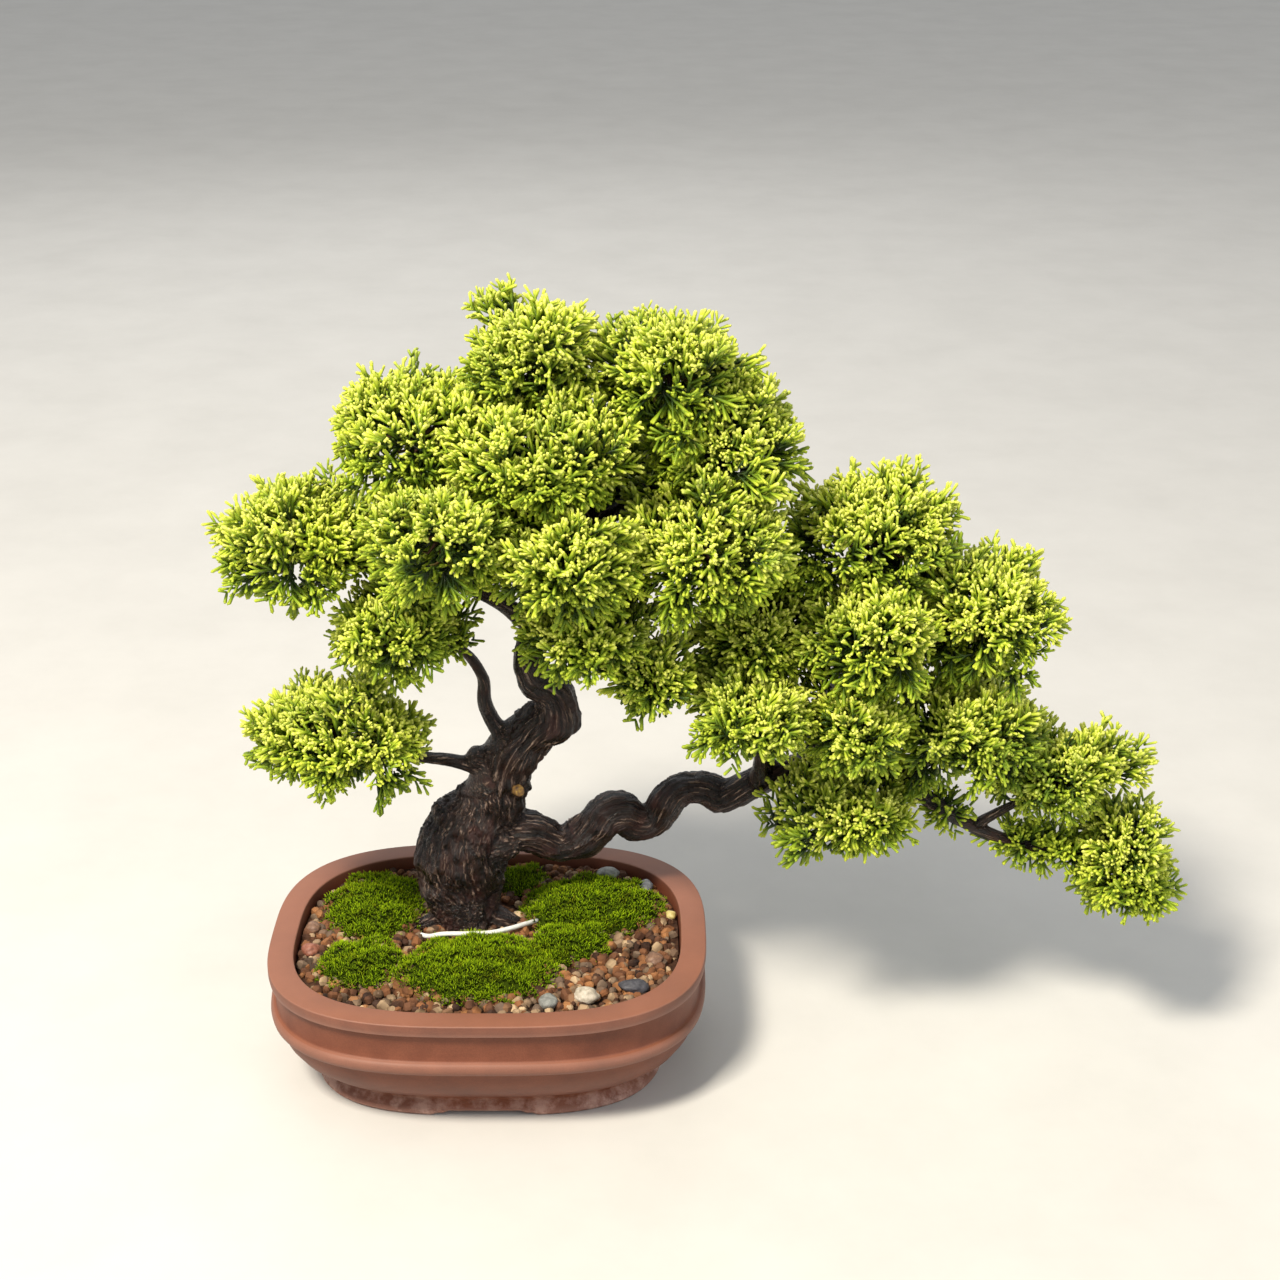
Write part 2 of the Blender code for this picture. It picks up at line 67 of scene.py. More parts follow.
def placed(x: float, y: float, z: float) -> Vector:
    """A point given in millimetres from the pot's centre, in the frame's metres."""
    return CENTRE + Vector((x, y, z)) * MM


def smooth_step(value: float, low: float, high: float) -> float:
    """Rises smoothly from 0 at low to 1 at high."""
    t = min(1.0, max(0.0, (value - low) / (high - low)))
    return t * t * (3 - 2 * t)


def smooth_path(rows: list[Vector], spacing: float) -> list[Vector]:
    """Samples the smooth curve through some rows at an even spacing.

    Args:
        rows: points of three or more numbers, the first three of them a place.
        spacing: distance between samples, in the rows' unit.

    Returns:
        The samples, with every number of the rows carried along.
    """
    rows = [2 * rows[0] - rows[1], *rows, 2 * rows[-1] - rows[-2]]
    path = []
    for a, b, c, d in zip(rows, rows[1:], rows[2:], rows[3:]):
        steps = max(1, round((c.xyz - b.xyz).length / spacing))
        for k in range(steps):
            t = k / steps
            path.append(0.5 * (2 * b + (c - a) * t + (2 * a - 5 * b + 4 * c - d) * t ** 2
                               + (3 * b - a - 3 * c + d) * t ** 3))
    path.append(rows[-2])
    return path


def turned_to(direction: Vector, spin: float) -> Matrix:
    """A rotation that takes +Z to a direction, after a spin about +Z."""
    return direction.to_track_quat("Z", "Y").to_matrix().to_4x4() @ Matrix.Rotation(spin, 4, "Z")


# ---------------------------------------------------------------- finishes


def linear(colour: str, alpha: float = 1.0) -> tuple[float, float, float, float]:
    """Turns an sRGB hex colour into linear numbers for a shader."""
    parts = [int(colour[i:i + 2], 16) / 255 for i in (1, 3, 5)]
    parts = [p / 12.92 if p <= 0.04045 else ((p + 0.055) / 1.055) ** 2.4 for p in parts]
    return (*parts, alpha)


def add_node(material: bpy.types.Material, kind: str, settings: dict | None = None,
             inputs: dict | None = None, stops: tuple = ()) -> bpy.types.Node:
    """Adds a shader node with its settings and links.

    Args:
        material: the material that gets the node.
        kind: the node's type name.
        settings: attributes to set on the node.
        inputs: a number, colour or output socket for each named or numbered input.
        stops: positions and hex colours, where the node is a colour ramp.

    Returns:
        The new node.
    """
    node = material.node_tree.nodes.new(kind)
    for key, value in (settings or {}).items():
        setattr(node, key, value)
    for key, value in (inputs or {}).items():
        if isinstance(value, bpy.types.NodeSocket):
            material.node_tree.links.new(value, node.inputs[key])
        else:
            node.inputs[key].default_value = value
    for index, (position, colour) in enumerate(stops):
        elements = node.color_ramp.elements
        stop = elements[index] if index < 2 else elements.new(position)
        stop.position = position
        stop.color = linear(colour)
    return node


@dataclass(frozen=True)
class Finish:
    """What every finish shares: a name, and the numbers set on the shader itself."""

    name: str
    roughness: float = 0.5
    specular: float = 0.5
    metallic: float = 0.0

    def start(self) -> tuple[bpy.types.Material, bpy.types.Node]:
        """Makes the material and sets the plain numbers of its shader."""
        material = bpy.data.materials.new(self.name)
        material.use_nodes = True
        shader = material.node_tree.nodes["Principled BSDF"]
        shader.inputs["Roughness"].default_value = self.roughness
        shader.inputs["Specular IOR Level"].default_value = self.specular
        shader.inputs["Metallic"].default_value = self.metallic
        return material, shader

    def material(self) -> bpy.types.Material:
        """Makes the finished material."""
        return self.start()[0]


@dataclass(frozen=True)
class Stoneware(Finish):
    """Unglazed iron-rich stoneware: matt, finely gritty, mottled, paler on its upward faces as painted
    light from above.
    """

    body: str = "#6E3B27"
    dark: str = "#5D301F"
    light: str = "#7C4630"
    painted_top_light: str = "#A5694B"
    bloom_and_highlight: str = "#C9A595"
    grit_mm: float = 0.5
    cloud_mm: float = 28.0

    def material(self) -> bpy.types.Material:
        """Makes the clay: broad clouds of tone, fine grit, pale mineral efflorescence low down, the same
        pale tone on sharp edges as wear and painted highlight, and a paler tone on upward faces as painted
        light from above.
        """
        material, shader = self.start()
        place = add_node(material, "ShaderNodeTexCoord").outputs["Object"]
        clouds = add_node(material, "ShaderNodeTexNoise", inputs={
            "Vector": place, "Scale": 1 / (self.cloud_mm * MM), "Detail": 6.0, "Roughness": 0.6})
        tone = add_node(material, "ShaderNodeValToRGB", inputs={"Fac": clouds.outputs["Fac"]},
                        stops=((0.3, self.dark), (0.7, self.light), (0.5, self.body)))
        grit = add_node(material, "ShaderNodeTexNoise", inputs={
            "Vector": place, "Scale": 1 / (self.grit_mm * MM), "Detail": 3.0})
        specks = add_node(material, "ShaderNodeValToRGB", inputs={"Fac": grit.outputs["Fac"]},
                          stops=((0.35, "#D8D8D8"), (0.65, "#FFFFFF")))
        gritty = add_node(material, "ShaderNodeMix", settings={
            "data_type": "RGBA", "blend_type": "MULTIPLY"}, inputs={
            0: 0.6, 6: tone.outputs["Color"], 7: specks.outputs["Color"]})
        parts = add_node(material, "ShaderNodeSeparateXYZ", inputs={0: place})
        low = add_node(material, "ShaderNodeMapRange", inputs={
            "Value": parts.outputs["Z"], "From Min": 0.012, "From Max": 0.0, "To Min": 0.0,
            "To Max": 0.75})
        patch = add_node(material, "ShaderNodeTexNoise", inputs={
            "Vector": place, "Scale": 1 / (9.0 * MM), "Detail": 5.0, "Roughness": 0.7})
        torn = add_node(material, "ShaderNodeMapRange", inputs={
            "Value": patch.outputs["Fac"], "From Min": 0.42, "From Max": 0.62})
        amount = add_node(material, "ShaderNodeMath", settings={"operation": "MULTIPLY"}, inputs={
            0: low.outputs["Result"], 1: torn.outputs["Result"]})
        # Sharp edges take the pale efflorescence tone: partly wear, partly painted highlight.
        edges = add_node(material, "ShaderNodeNewGeometry").outputs["Pointiness"]
        wear_and_highlight = add_node(material, "ShaderNodeMapRange", inputs={
            "Value": edges, "From Min": 0.51, "From Max": 0.60, "To Min": 0.0, "To Max": 0.45})
        both = add_node(material, "ShaderNodeMath", settings={
            "operation": "MAXIMUM"}, inputs={0: amount.outputs[0], 1: wear_and_highlight.outputs["Result"]})
        # Upward faces are mixed towards a paler tone: painted light from above.
        facing = add_node(material, "ShaderNodeSeparateXYZ", inputs={
            0: add_node(material, "ShaderNodeNewGeometry").outputs["Normal"]})
        upward = add_node(material, "ShaderNodeMapRange", inputs={
            "Value": facing.outputs["Z"], "From Min": 0.3, "From Max": 1.0, "To Max": 0.35})
        top_lit = add_node(material, "ShaderNodeMix", settings={"data_type": "RGBA"}, inputs={
            0: upward.outputs["Result"], 6: gritty.outputs[2], 7: linear(self.painted_top_light)})
        bloomed_and_highlit = add_node(material, "ShaderNodeMix", settings={"data_type": "RGBA"}, inputs={
            0: both.outputs[0], 6: top_lit.outputs[2], 7: linear(self.bloom_and_highlight)})
        bump = add_node(material, "ShaderNodeBump", inputs={
            "Height": grit.outputs["Fac"], "Strength": 0.35, "Distance": 0.15 * MM})
        material.node_tree.links.new(bloomed_and_highlit.outputs[2], shader.inputs["Base Color"])
        material.node_tree.links.new(bump.outputs["Normal"], shader.inputs["Normal"])
        return material


@dataclass(frozen=True)
class WetBark(Finish):
    """Juniper bark, just watered: nearly black, in long strings, redder where it has flaked."""

    deep: str = "#040202"
    brown: str = "#2E1A12"
    ridge_and_highlight: str = "#C0A692"
    red: str = "#642618"
    string_mm: float = 1.1

    def material(self) -> bpy.types.Material:
        """Makes the bark: streaks along each limb, paler on the raised strings, partly as painted
        highlight, with flaked red patches.
        """
        material, shader = self.start()
        grain = add_node(material, "ShaderNodeAttribute", settings={"attribute_name": GRAIN})
        drawn = add_node(material, "ShaderNodeMapping", inputs={
            "Vector": grain.outputs["Vector"], "Scale": (1.0, 1.0, 0.09)})
        strings = add_node(material, "ShaderNodeTexNoise", inputs={
            "Vector": drawn.outputs[0], "Scale": 1 / (self.string_mm * MM), "Detail": 5.0,
            "Roughness": 0.65, "Distortion": 0.4})
        # The raised strings take the pale tone: partly the bark's paler fibres, partly painted highlight.
        tone = add_node(material, "ShaderNodeValToRGB", inputs={"Fac": strings.outputs["Fac"]},
                        stops=((0.42, self.deep), (0.75, self.ridge_and_highlight), (0.57, self.brown)))
        patches = add_node(material, "ShaderNodeTexNoise", inputs={
            "Vector": grain.outputs["Vector"], "Scale": 1 / (13.0 * MM), "Detail": 4.0})
        flaked = add_node(material, "ShaderNodeMapRange", inputs={
            "Value": patches.outputs["Fac"], "From Min": 0.48, "From Max": 0.64, "To Max": 0.55})
        reddened = add_node(material, "ShaderNodeMix", settings={"data_type": "RGBA"}, inputs={
            0: flaked.outputs["Result"], 6: tone.outputs["Color"], 7: linear(self.red)})
        streaked = add_node(material, "ShaderNodeMix", settings={
            "data_type": "RGBA", "blend_type": "MULTIPLY"}, inputs={
            0: 0.45, 6: reddened.outputs[2], 7: tone.outputs["Color"]})
        kept = add_node(material, "ShaderNodeMix", settings={"data_type": "RGBA"}, inputs={
            0: flaked.outputs["Result"], 6: tone.outputs["Color"], 7: streaked.outputs[2]})
        bump = add_node(material, "ShaderNodeBump", inputs={
            "Height": strings.outputs["Fac"], "Strength": 1.0, "Distance": 1.6 * MM})
        gloss = add_node(material, "ShaderNodeMapRange", inputs={
            "Value": patches.outputs["Fac"], "From Min": 0.35, "From Max": 0.65,
            "To Min": 0.14, "To Max": 0.5})
        material.node_tree.links.new(kept.outputs[2], shader.inputs["Base Color"])
        material.node_tree.links.new(gloss.outputs["Result"], shader.inputs["Roughness"])
        material.node_tree.links.new(bump.outputs["Normal"], shader.inputs["Normal"])
        return material


@dataclass(frozen=True)
class ToneAlong(Finish):
    """A grown or gathered finish: across its map the tone of each bit, along it base to tip."""

    along: tuple = ()
    tones: tuple = ()
    tone_share: float = 0.6
    band_count: float = 0.0

    def material(self) -> bpy.types.Material:
        """Makes the material from the piece's own map of tone and place along."""
        material, shader = self.start()
        mapped = add_node(material, "ShaderNodeUVMap", settings={"uv_map": UV_NAME}).outputs["UV"]
        parts = add_node(material, "ShaderNodeSeparateXYZ", inputs={0: mapped})
        grown = add_node(material, "ShaderNodeValToRGB", inputs={"Fac": parts.outputs["Y"]},
                         stops=self.along)
        tone = add_node(material, "ShaderNodeValToRGB", inputs={"Fac": parts.outputs["X"]},
                        stops=self.tones)
        mixed = add_node(material, "ShaderNodeMix", settings={
            "data_type": "RGBA", "blend_type": "MULTIPLY"}, inputs={
            0: self.tone_share, 6: grown.outputs["Color"], 7: tone.outputs["Color"]})
        material.node_tree.links.new(mixed.outputs[2], shader.inputs["Base Color"])
        if self.band_count:
            bands = add_node(material, "ShaderNodeTexWave", settings={
                "bands_direction": "Y"}, inputs={"Vector": mapped, "Scale": self.band_count})
            bump = add_node(material, "ShaderNodeBump", inputs={
                "Height": bands.outputs["Fac"], "Strength": 0.5, "Distance": 0.3 * MM})
            material.node_tree.links.new(bump.outputs["Normal"], shader.inputs["Normal"])
        return material


@dataclass(frozen=True)
class Speckled(Finish):
    """A mineral or moulded finish: two tones in noise, and a grain to feel."""

    first: str = "#808080"
    second: str = "#606060"
    fleck: str = "#A0A0A0"
    patch_mm: float = 2.0
    bump_mm: float = 0.1

    def material(self) -> bpy.types.Material:
        """Makes the material from noise at the finish's own scale."""
        material, shader = self.start()
        place = add_node(material, "ShaderNodeTexCoord").outputs["Object"]
        patches = add_node(material, "ShaderNodeTexNoise", inputs={
            "Vector": place, "Scale": 1 / (self.patch_mm * MM), "Detail": 5.0, "Roughness": 0.65})
        tone = add_node(material, "ShaderNodeValToRGB", inputs={"Fac": patches.outputs["Fac"]},
                        stops=((0.3, self.second), (0.78, self.fleck), (0.52, self.first)))
        bump = add_node(material, "ShaderNodeBump", inputs={
            "Height": patches.outputs["Fac"], "Strength": 0.5, "Distance": self.bump_mm * MM})
        material.node_tree.links.new(tone.outputs["Color"], shader.inputs["Base Color"])
        material.node_tree.links.new(bump.outputs["Normal"], shader.inputs["Normal"])
        return material


STONEWARE = Stoneware("unglazed_stoneware", roughness=0.55, specular=0.4)
BARK = WetBark("wet_juniper_bark", roughness=0.4, specular=0.45)
# Along each sprig the colour runs from near black at the base to pale yellow-green at the tip: paler new
# growth with painted highlight at the tips, and painted shade towards the base, deep in the pad.
SCALE_LEAF = ToneAlong(
    "juniper_scale_leaf", roughness=0.45, specular=0.35,
    along=((0.0, "#0C1602"), (1.0, "#F4F48E"), (0.3, "#2C4607"), (0.6, "#849F20"),
           (0.85, "#CCD848")),
    tones=((0.0, "#94AA64"), (1.0, "#FFFFDC"), (0.5, "#EEF0B8")), tone_share=0.7,
    band_count=9.0)
TWIG = ToneAlong(
    "juniper_twig", roughness=0.7, specular=0.3,
    along=((0.0, "#2E1B12"), (1.0, "#6F6A2C"), (0.6, "#5A3C24")),
    tones=((0.0, "#B0A8A0"), (1.0, "#FFFFFF")), tone_share=0.5)
MOSS = ToneAlong(
    "cushion_moss", roughness=0.9, specular=0.1,
    along=((0.0, "#1E2403"), (1.0, "#D0E030"), (0.4, "#5C740C"), (0.75, "#A0B81A")),
    tones=((0.0, "#A88648"), (1.0, "#F8FFC0"), (0.25, "#C8CC80"), (0.6, "#E6F4A4")),
    tone_share=0.75)
GRANULES = ToneAlong(
    "fired_clay_granules", roughness=0.8, specular=0.3,
    along=((0.0, "#8A8078"), (1.0, "#FFFFFF")),
    tones=((0.0, "#3E2A20"), (1.0, "#D0B48E"), (0.2, "#6A4630"), (0.42, "#8A5A38"),
           (0.62, "#A87448"), (0.76, "#6C5A4C"), (0.9, "#A68A6C")), tone_share=1.0)
CUT_WOOD = Speckled("weathered_cut_wood", roughness=0.7, first="#6E5028", second="#2E1E12",
                    fleck="#B8983E", patch_mm=2.2, bump_mm=0.3)
SUBSTRATE = Speckled("damp_substrate", roughness=0.9, specular=0.2, first="#3E281D",
                     second="#24160F", fleck="#5A3E2C", patch_mm=2.5, bump_mm=0.8)
NETTING = Speckled("polyethylene_netting", roughness=0.45, first="#1B1C1C", second="#121212",
                   fleck="#2A2B2B", patch_mm=1.5, bump_mm=0.05)
STAPLE = Speckled("drawn_aluminium_wire", roughness=0.35, metallic=1.0, first="#BFC1C3",
                  second="#A7A9AB", fleck="#D5D6D7", patch_mm=0.8, bump_mm=0.03)
COATED = Speckled("white_pvc_coating", roughness=0.35, first="#E9E9E4", second="#D6D5CC",
                  fleck="#F6F6F2", patch_mm=3.0, bump_mm=0.03)
FLOOR = Speckled("matt_studio_floor", roughness=0.9, specular=0.1, first="#CDCBC6",
                 second="#C9C7C2", fleck="#D1CFCA", patch_mm=90.0, bump_mm=0.0)


# ---------------------------------------------------------------- making pieces


def as_object(name: str, bm: bmesh.types.BMesh) -> bpy.types.Object:
    """Turns a mesh, which is freed, into an object of the scene."""
    mesh = bpy.data.meshes.new(name)
    bm.to_mesh(mesh)
    bm.free()
    made = bpy.data.objects.new(name, mesh)
    bpy.context.scene.collection.objects.link(made)
    return made


def as_modified(made: bpy.types.Object) -> bpy.types.Mesh:
    """The mesh that an object has once its modifiers are applied."""
    graph = bpy.context.evaluated_depsgraph_get()
    return bpy.data.meshes.new_from_object(made.evaluated_get(graph))


def set_smooth(bm: bmesh.types.BMesh, smooth: bool = True) -> None:
    """Shades every face of a mesh smooth or flat."""
    for face in bm.faces:
        face.smooth = smooth


def set_in_place(bm: bmesh.types.BMesh, middle: Vector = CENTRE) -> None:
    """Takes a mesh from millimetres round a middle to its place in the frame."""
    bmesh.ops.scale(bm, vec=(MM, MM, MM), verts=bm.verts)
    bmesh.ops.translate(bm, vec=middle, verts=bm.verts)


def shaken(dice: random.Random, amount: float) -> Vector:
    """A small random step, the same range along each axis."""
    return Vector([dice.uniform(-amount, amount) for _ in range(3)])


def stretched(way: Vector, sizes: Vector) -> Vector:
    """A vector with each of its numbers multiplied by its own size."""
    return Vector([way[i] * sizes[i] for i in range(3)])


def finish_piece(name: str, bm: bmesh.types.BMesh, materials: list[bpy.types.Material],
                 replaced: tuple[str, ...] = ()) -> bpy.types.Object:
    """Turns a mesh into a finished piece of the object.

    Args:
        name: the piece's name.
        bm: its mesh, in place, in metres; it is freed.
        materials: the piece's materials, in the order of its faces' indices.
        replaced: the frame's nodes that it stands for.

    Returns:
        The piece, riding on the one body.
    """
    piece = as_object(name, bm)
    mesh = piece.data
    for material in materials:
        mesh.materials.append(material)
    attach(piece, BODY)
    if replaced:
        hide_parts(*replaced)
    LOG.info("%s: %d triangles", name, sum(len(face.vertices) - 2 for face in mesh.polygons))
    return piece


def map_along(bm: bmesh.types.BMesh, along: dict[bmesh.types.BMVert, float], tone: float = 0.5) -> None:
    """Writes a tone and each vertex's place along into the piece's map."""
    layer = bm.loops.layers.uv.get(UV_NAME) or bm.loops.layers.uv.new(UV_NAME)
    for face in bm.faces:
        for loop in face.loops:
            if loop.vert in along:
                loop[layer].uv = (tone, along[loop.vert])


def grow_tube(bm: bmesh.types.BMesh, path: list[Vector], radii: list[float], sides: int,
              pointed: bool = False) -> dict[bmesh.types.BMVert, float]:
    """Extrudes a ring along a path.

    Args:
        bm: the mesh that gets the tube.
        path: the ring's centres.
        radii: the ring's radius at each of them.
        sides: the number of points in a ring.
        pointed: whether the far end comes to a point, and the start stays open, to be hidden in
            a stem; else both ends are closed flat.

    Returns:
        Each new vertex's place along the tube, 0 at its start and 1 at its end.
    """
    last = len(path) - 1
    along = (path[1] - path[0]).normalized()
    start = Matrix.Translation(path[0]) @ turned_to(along, 0.0)
    ring = bmesh.ops.create_circle(bm, cap_ends=not pointed, segments=sides, radius=radii[0],
                                   matrix=start)["verts"]
    spots = {vert: 0.0 for vert in ring}
    edges = list({edge for vert in ring for edge in vert.link_edges})
    for i in range(1, last + 1):
        grown = bmesh.ops.extrude_edge_only(bm, edges=edges)["geom"]
        ring = [item for item in grown if isinstance(item, bmesh.types.BMVert)]
        edges = [edge for edge in {e for v in ring for e in v.link_edges}
                 if edge.verts[0] in ring and edge.verts[1] in ring]
        ahead = (path[min(i + 1, last)] - path[i - 1]).normalized()
        turn = along.rotation_difference(ahead).to_matrix()
        for vert in ring:
            vert.co = path[i] + turn @ (vert.co - path[i - 1]) * (radii[i] / radii[i - 1])
            spots[vert] = i / last
        along = ahead
    lid = bmesh.ops.edgeloop_fill(bm, edges=edges)["faces"]
    if pointed:
        for vert in bmesh.ops.poke(bm, faces=lid)["verts"]:
            vert.co = path[-1] + along * radii[-1]
            spots[vert] = 1.0
    return spots


class Stamp:
    """A small mesh that is copied many times; its map runs from base to tip."""

    def __init__(self, name: str, bm: bmesh.types.BMesh, smooth: bool = True) -> None:
        """Keeps the mesh and where each of its corners lies along it.

        Args:
            name: the small mesh's name.
            bm: the mesh, with its map; it is freed.
            smooth: whether it is shaded smooth; else its facets show.
        """
        bmesh.ops.recalc_face_normals(bm, faces=bm.faces[:])
        set_smooth(bm, smooth)
        self.mesh = bpy.data.meshes.new(name)
        bm.to_mesh(self.mesh)
        bm.free()
        spots = [0.0] * (2 * len(self.mesh.loops))
        self.mesh.uv_layers[UV_NAME].uv.foreach_get("vector", spots)
        self.along = spots[1::2]

    def press(self, bm: bmesh.types.BMesh, place: Matrix, tone: float, shade: float = 1.0) -> None:
        """Adds a placed copy.

        Args:
            bm: the mesh that grows.
            place: where the copy goes.
            tone: the tone given to the whole copy.
            shade: how far along the base-to-tip colours the copy's tips reach.
        """
        copy = self.mesh.copy()
        copy.transform(place)
        spots = [number for v in self.along for number in (tone, v * shade)]
        copy.uv_layers[UV_NAME].uv.foreach_set("vector", spots)
        bm.from_mesh(copy)
        bpy.data.meshes.remove(copy)


def spread(count: int, dice: random.Random, jitter: float) -> list[Vector]:
    """Directions spread evenly over a sphere, each moved a little at random."""
    golden = math.pi * (3 - math.sqrt(5))
    directions = []
    for i in range(count):
        height = 1 - 2 * (i + 0.5) / count
        wide = math.sqrt(1 - height * height)
        turn = golden * i
        point = Vector((wide * math.cos(turn), wide * math.sin(turn), height)) + shaken(dice, jitter)
        directions.append(point.normalized())
    return directions


# ---------------------------------------------------------------- the pot


@dataclass
class PotShell:
    """The fired pot: flat rim, lip, bead band, round belly, and feet with raised stretches."""

    length: float = 200.0
    depth: float = 165.0
    height: float = 60.0
    power: float = 3.0
    points: int = 300
    rim_width: float = 11.5
    floor_top: float = 12.0
    floor_underside: float = 6.0
    drain_offset: float = 45.0
    drain_radius: float = 11.0
    arch_height: float = 2.5
    arch_reach: float = 23.0
    end_arch_reach: float = 20.0
    floor_inset: float = 34.0
    edge_radius: float = 0.7
    waver_depth: float = 0.35
    crease_degrees: float = 50.0
    # the wall's section as insets from the rim's outline and heights, from the foot up and over
    foot: tuple = ((31.0, 0.0), (20.6, 0.0))
    skirt: tuple = ((19.6, 1.6), (20.8, 4.2), (22.8, 6.8), (22.4, 8.6), (19.6, 11.0), (14.4, 14.6),
                    (9.2, 19.8), (5.4, 25.8), (3.4, 31.0), (2.7, 33.6))
    bead: tuple = ((1.5, 34.2), (0.5, 35.4), (0.2, 37.0), (0.5, 38.6), (1.5, 39.8))
    band: tuple = ((2.7, 40.4), (3.1, 43.0), (3.0, 48.0), (2.5, 54.0))
    lip: tuple = ((0.3, 54.6), (0.0, 56.5), (0.0, 60.0))
    inside: tuple = ((12.3, 50.0), (13.2, 36.0), (14.6, 24.0), (18.4, 16.6), (25.0, 13.0))

    def reach(self, turn: float, inset: float) -> float:
        """How far the outline lies from the middle in some direction."""
        across = abs(math.cos(turn)) / (self.length / 2 - inset)
        deep = abs(math.sin(turn)) / (self.depth / 2 - inset)
        return (across ** self.power + deep ** self.power) ** (-1 / self.power)

    def settle(self, verts: list[bmesh.types.BMVert], inset: float, height: float) -> None:
        """Moves a ring onto the outline at an inset and a height."""
        for vert in verts:
            turn = math.atan2(vert.co.y, vert.co.x)
            wide = self.reach(turn, inset)
            vert.co = Vector((wide * math.cos(turn), wide * math.sin(turn), height))

    def arch(self, x: float, y: float) -> float:
        """How far the foot is raised there: a low bracket, with a small step at each end."""
        if abs(y) > self.depth * 0.25:
            gone, reach = abs(x), self.arch_reach
        else:
            gone, reach = abs(y), self.end_arch_reach
        step = 0.45 * (1 - smooth_step(gone, reach - 1.5, reach + 1.0))
        rise = 0.55 * (1 - smooth_step(gone, reach - 7.0, reach - 4.0))
        return self.arch_height * (step + rise)

    def profile(self) -> list[tuple[float, float]]:
        """The wall's section, from the foot's inner edge round to the floor."""
        rows = [*self.foot]
        for soft in (self.skirt, self.bead, self.band, self.lip):
            rows += soft
        rows += [(self.rim_width, self.height), *self.inside]
        return rows

    def next_ring(self, bm: bmesh.types.BMesh, edges: list[bmesh.types.BMEdge], inset: float,
                  height: float) -> list[bmesh.types.BMEdge]:
        """Extrudes the wall's last ring to a new inset and height, and returns the new ring."""
        grown = bmesh.ops.extrude_edge_only(bm, edges=edges)["geom"]
        ring = {item for item in grown if isinstance(item, bmesh.types.BMVert)}
        self.settle(list(ring), inset, height)
        return [item for item in grown if isinstance(item, bmesh.types.BMEdge)
                and item.verts[0] in ring and item.verts[1] in ring]

    def mesh(self) -> bmesh.types.BMesh:
        """The pot's mesh in millimetres, round its own centre."""
        bm = bmesh.new()
        ring = bmesh.ops.create_circle(bm, cap_ends=True, segments=self.points, radius=1.0)["verts"]
        self.settle(ring, self.foot[0][0] + 1.0, self.floor_underside)
        edges = bm.edges[:]
        corners = []
        sharp = {*self.foot, self.skirt[-1], self.band[0], self.band[-1], self.lip[-1],
                 (self.rim_width, self.height)}
        for inset, height in self.profile():
            edges = self.next_ring(bm, edges, inset, height)
            if (inset, height) in sharp:
                corners += edges
        edges = self.next_ring(bm, edges, self.floor_inset, self.floor_top)
        bmesh.ops.edgeloop_fill(bm, edges=edges)
        bmesh.ops.bevel(bm, geom=corners, offset=self.edge_radius, segments=3, profile=0.5, affect="EDGES",
                        material=-1, clamp_overlap=True)
        return bm

    def drilled(self, piece: bpy.types.Object) -> None:
        """Cuts the two drain holes and applies the cuts."""
        for side in (-1, 1):
            bm = bmesh.new()
            place = Matrix.Translation(placed(side * self.drain_offset, 0, self.floor_top))
            bmesh.ops.create_cone(bm, cap_ends=True, segments=48, radius1=self.drain_radius * MM,
                                  radius2=self.drain_radius * MM, depth=2 * self.floor_top * MM,
                                  matrix=place)
            drill = as_object("drain", bm)
            cut = piece.modifiers.new("drain", "BOOLEAN")
            cut.object = drill
            cut.operation = "DIFFERENCE"
            holed = as_modified(piece)
            piece.modifiers.clear()
            piece.data = holed
            bpy.data.objects.remove(drill)

    def build(self) -> bpy.types.Object:
        """Builds the pot and fires it: the feet, then the faint waver of a hand-worked wall."""
        bm = self.mesh()
        for vert in bm.verts:
            below = 1 - smooth_step(vert.co.z, 0.0, 6.5)
            if below and math.hypot(vert.co.x / self.length, vert.co.y / self.depth) > 0.25:
                vert.co.z += self.arch(vert.co.x, vert.co.y) * below
            waver = noise.noise(vert.co * 0.02) * self.waver_depth
            waver *= smooth_step(vert.co.z, 6.0, 30.0)
            vert.co.x *= 1 + waver / self.length
            vert.co.y *= 1 + waver / self.depth
        set_in_place(bm)
        bmesh.ops.recalc_face_normals(bm, faces=bm.faces[:])
        set_smooth(bm)
        piece = finish_piece("pot_shell", bm, [STONEWARE.material()], ("pot",))
        self.drilled(piece)
        piece.data.set_sharp_from_angle(angle=math.radians(self.crease_degrees))
        return piece


# ---------------------------------------------------------------- the wood


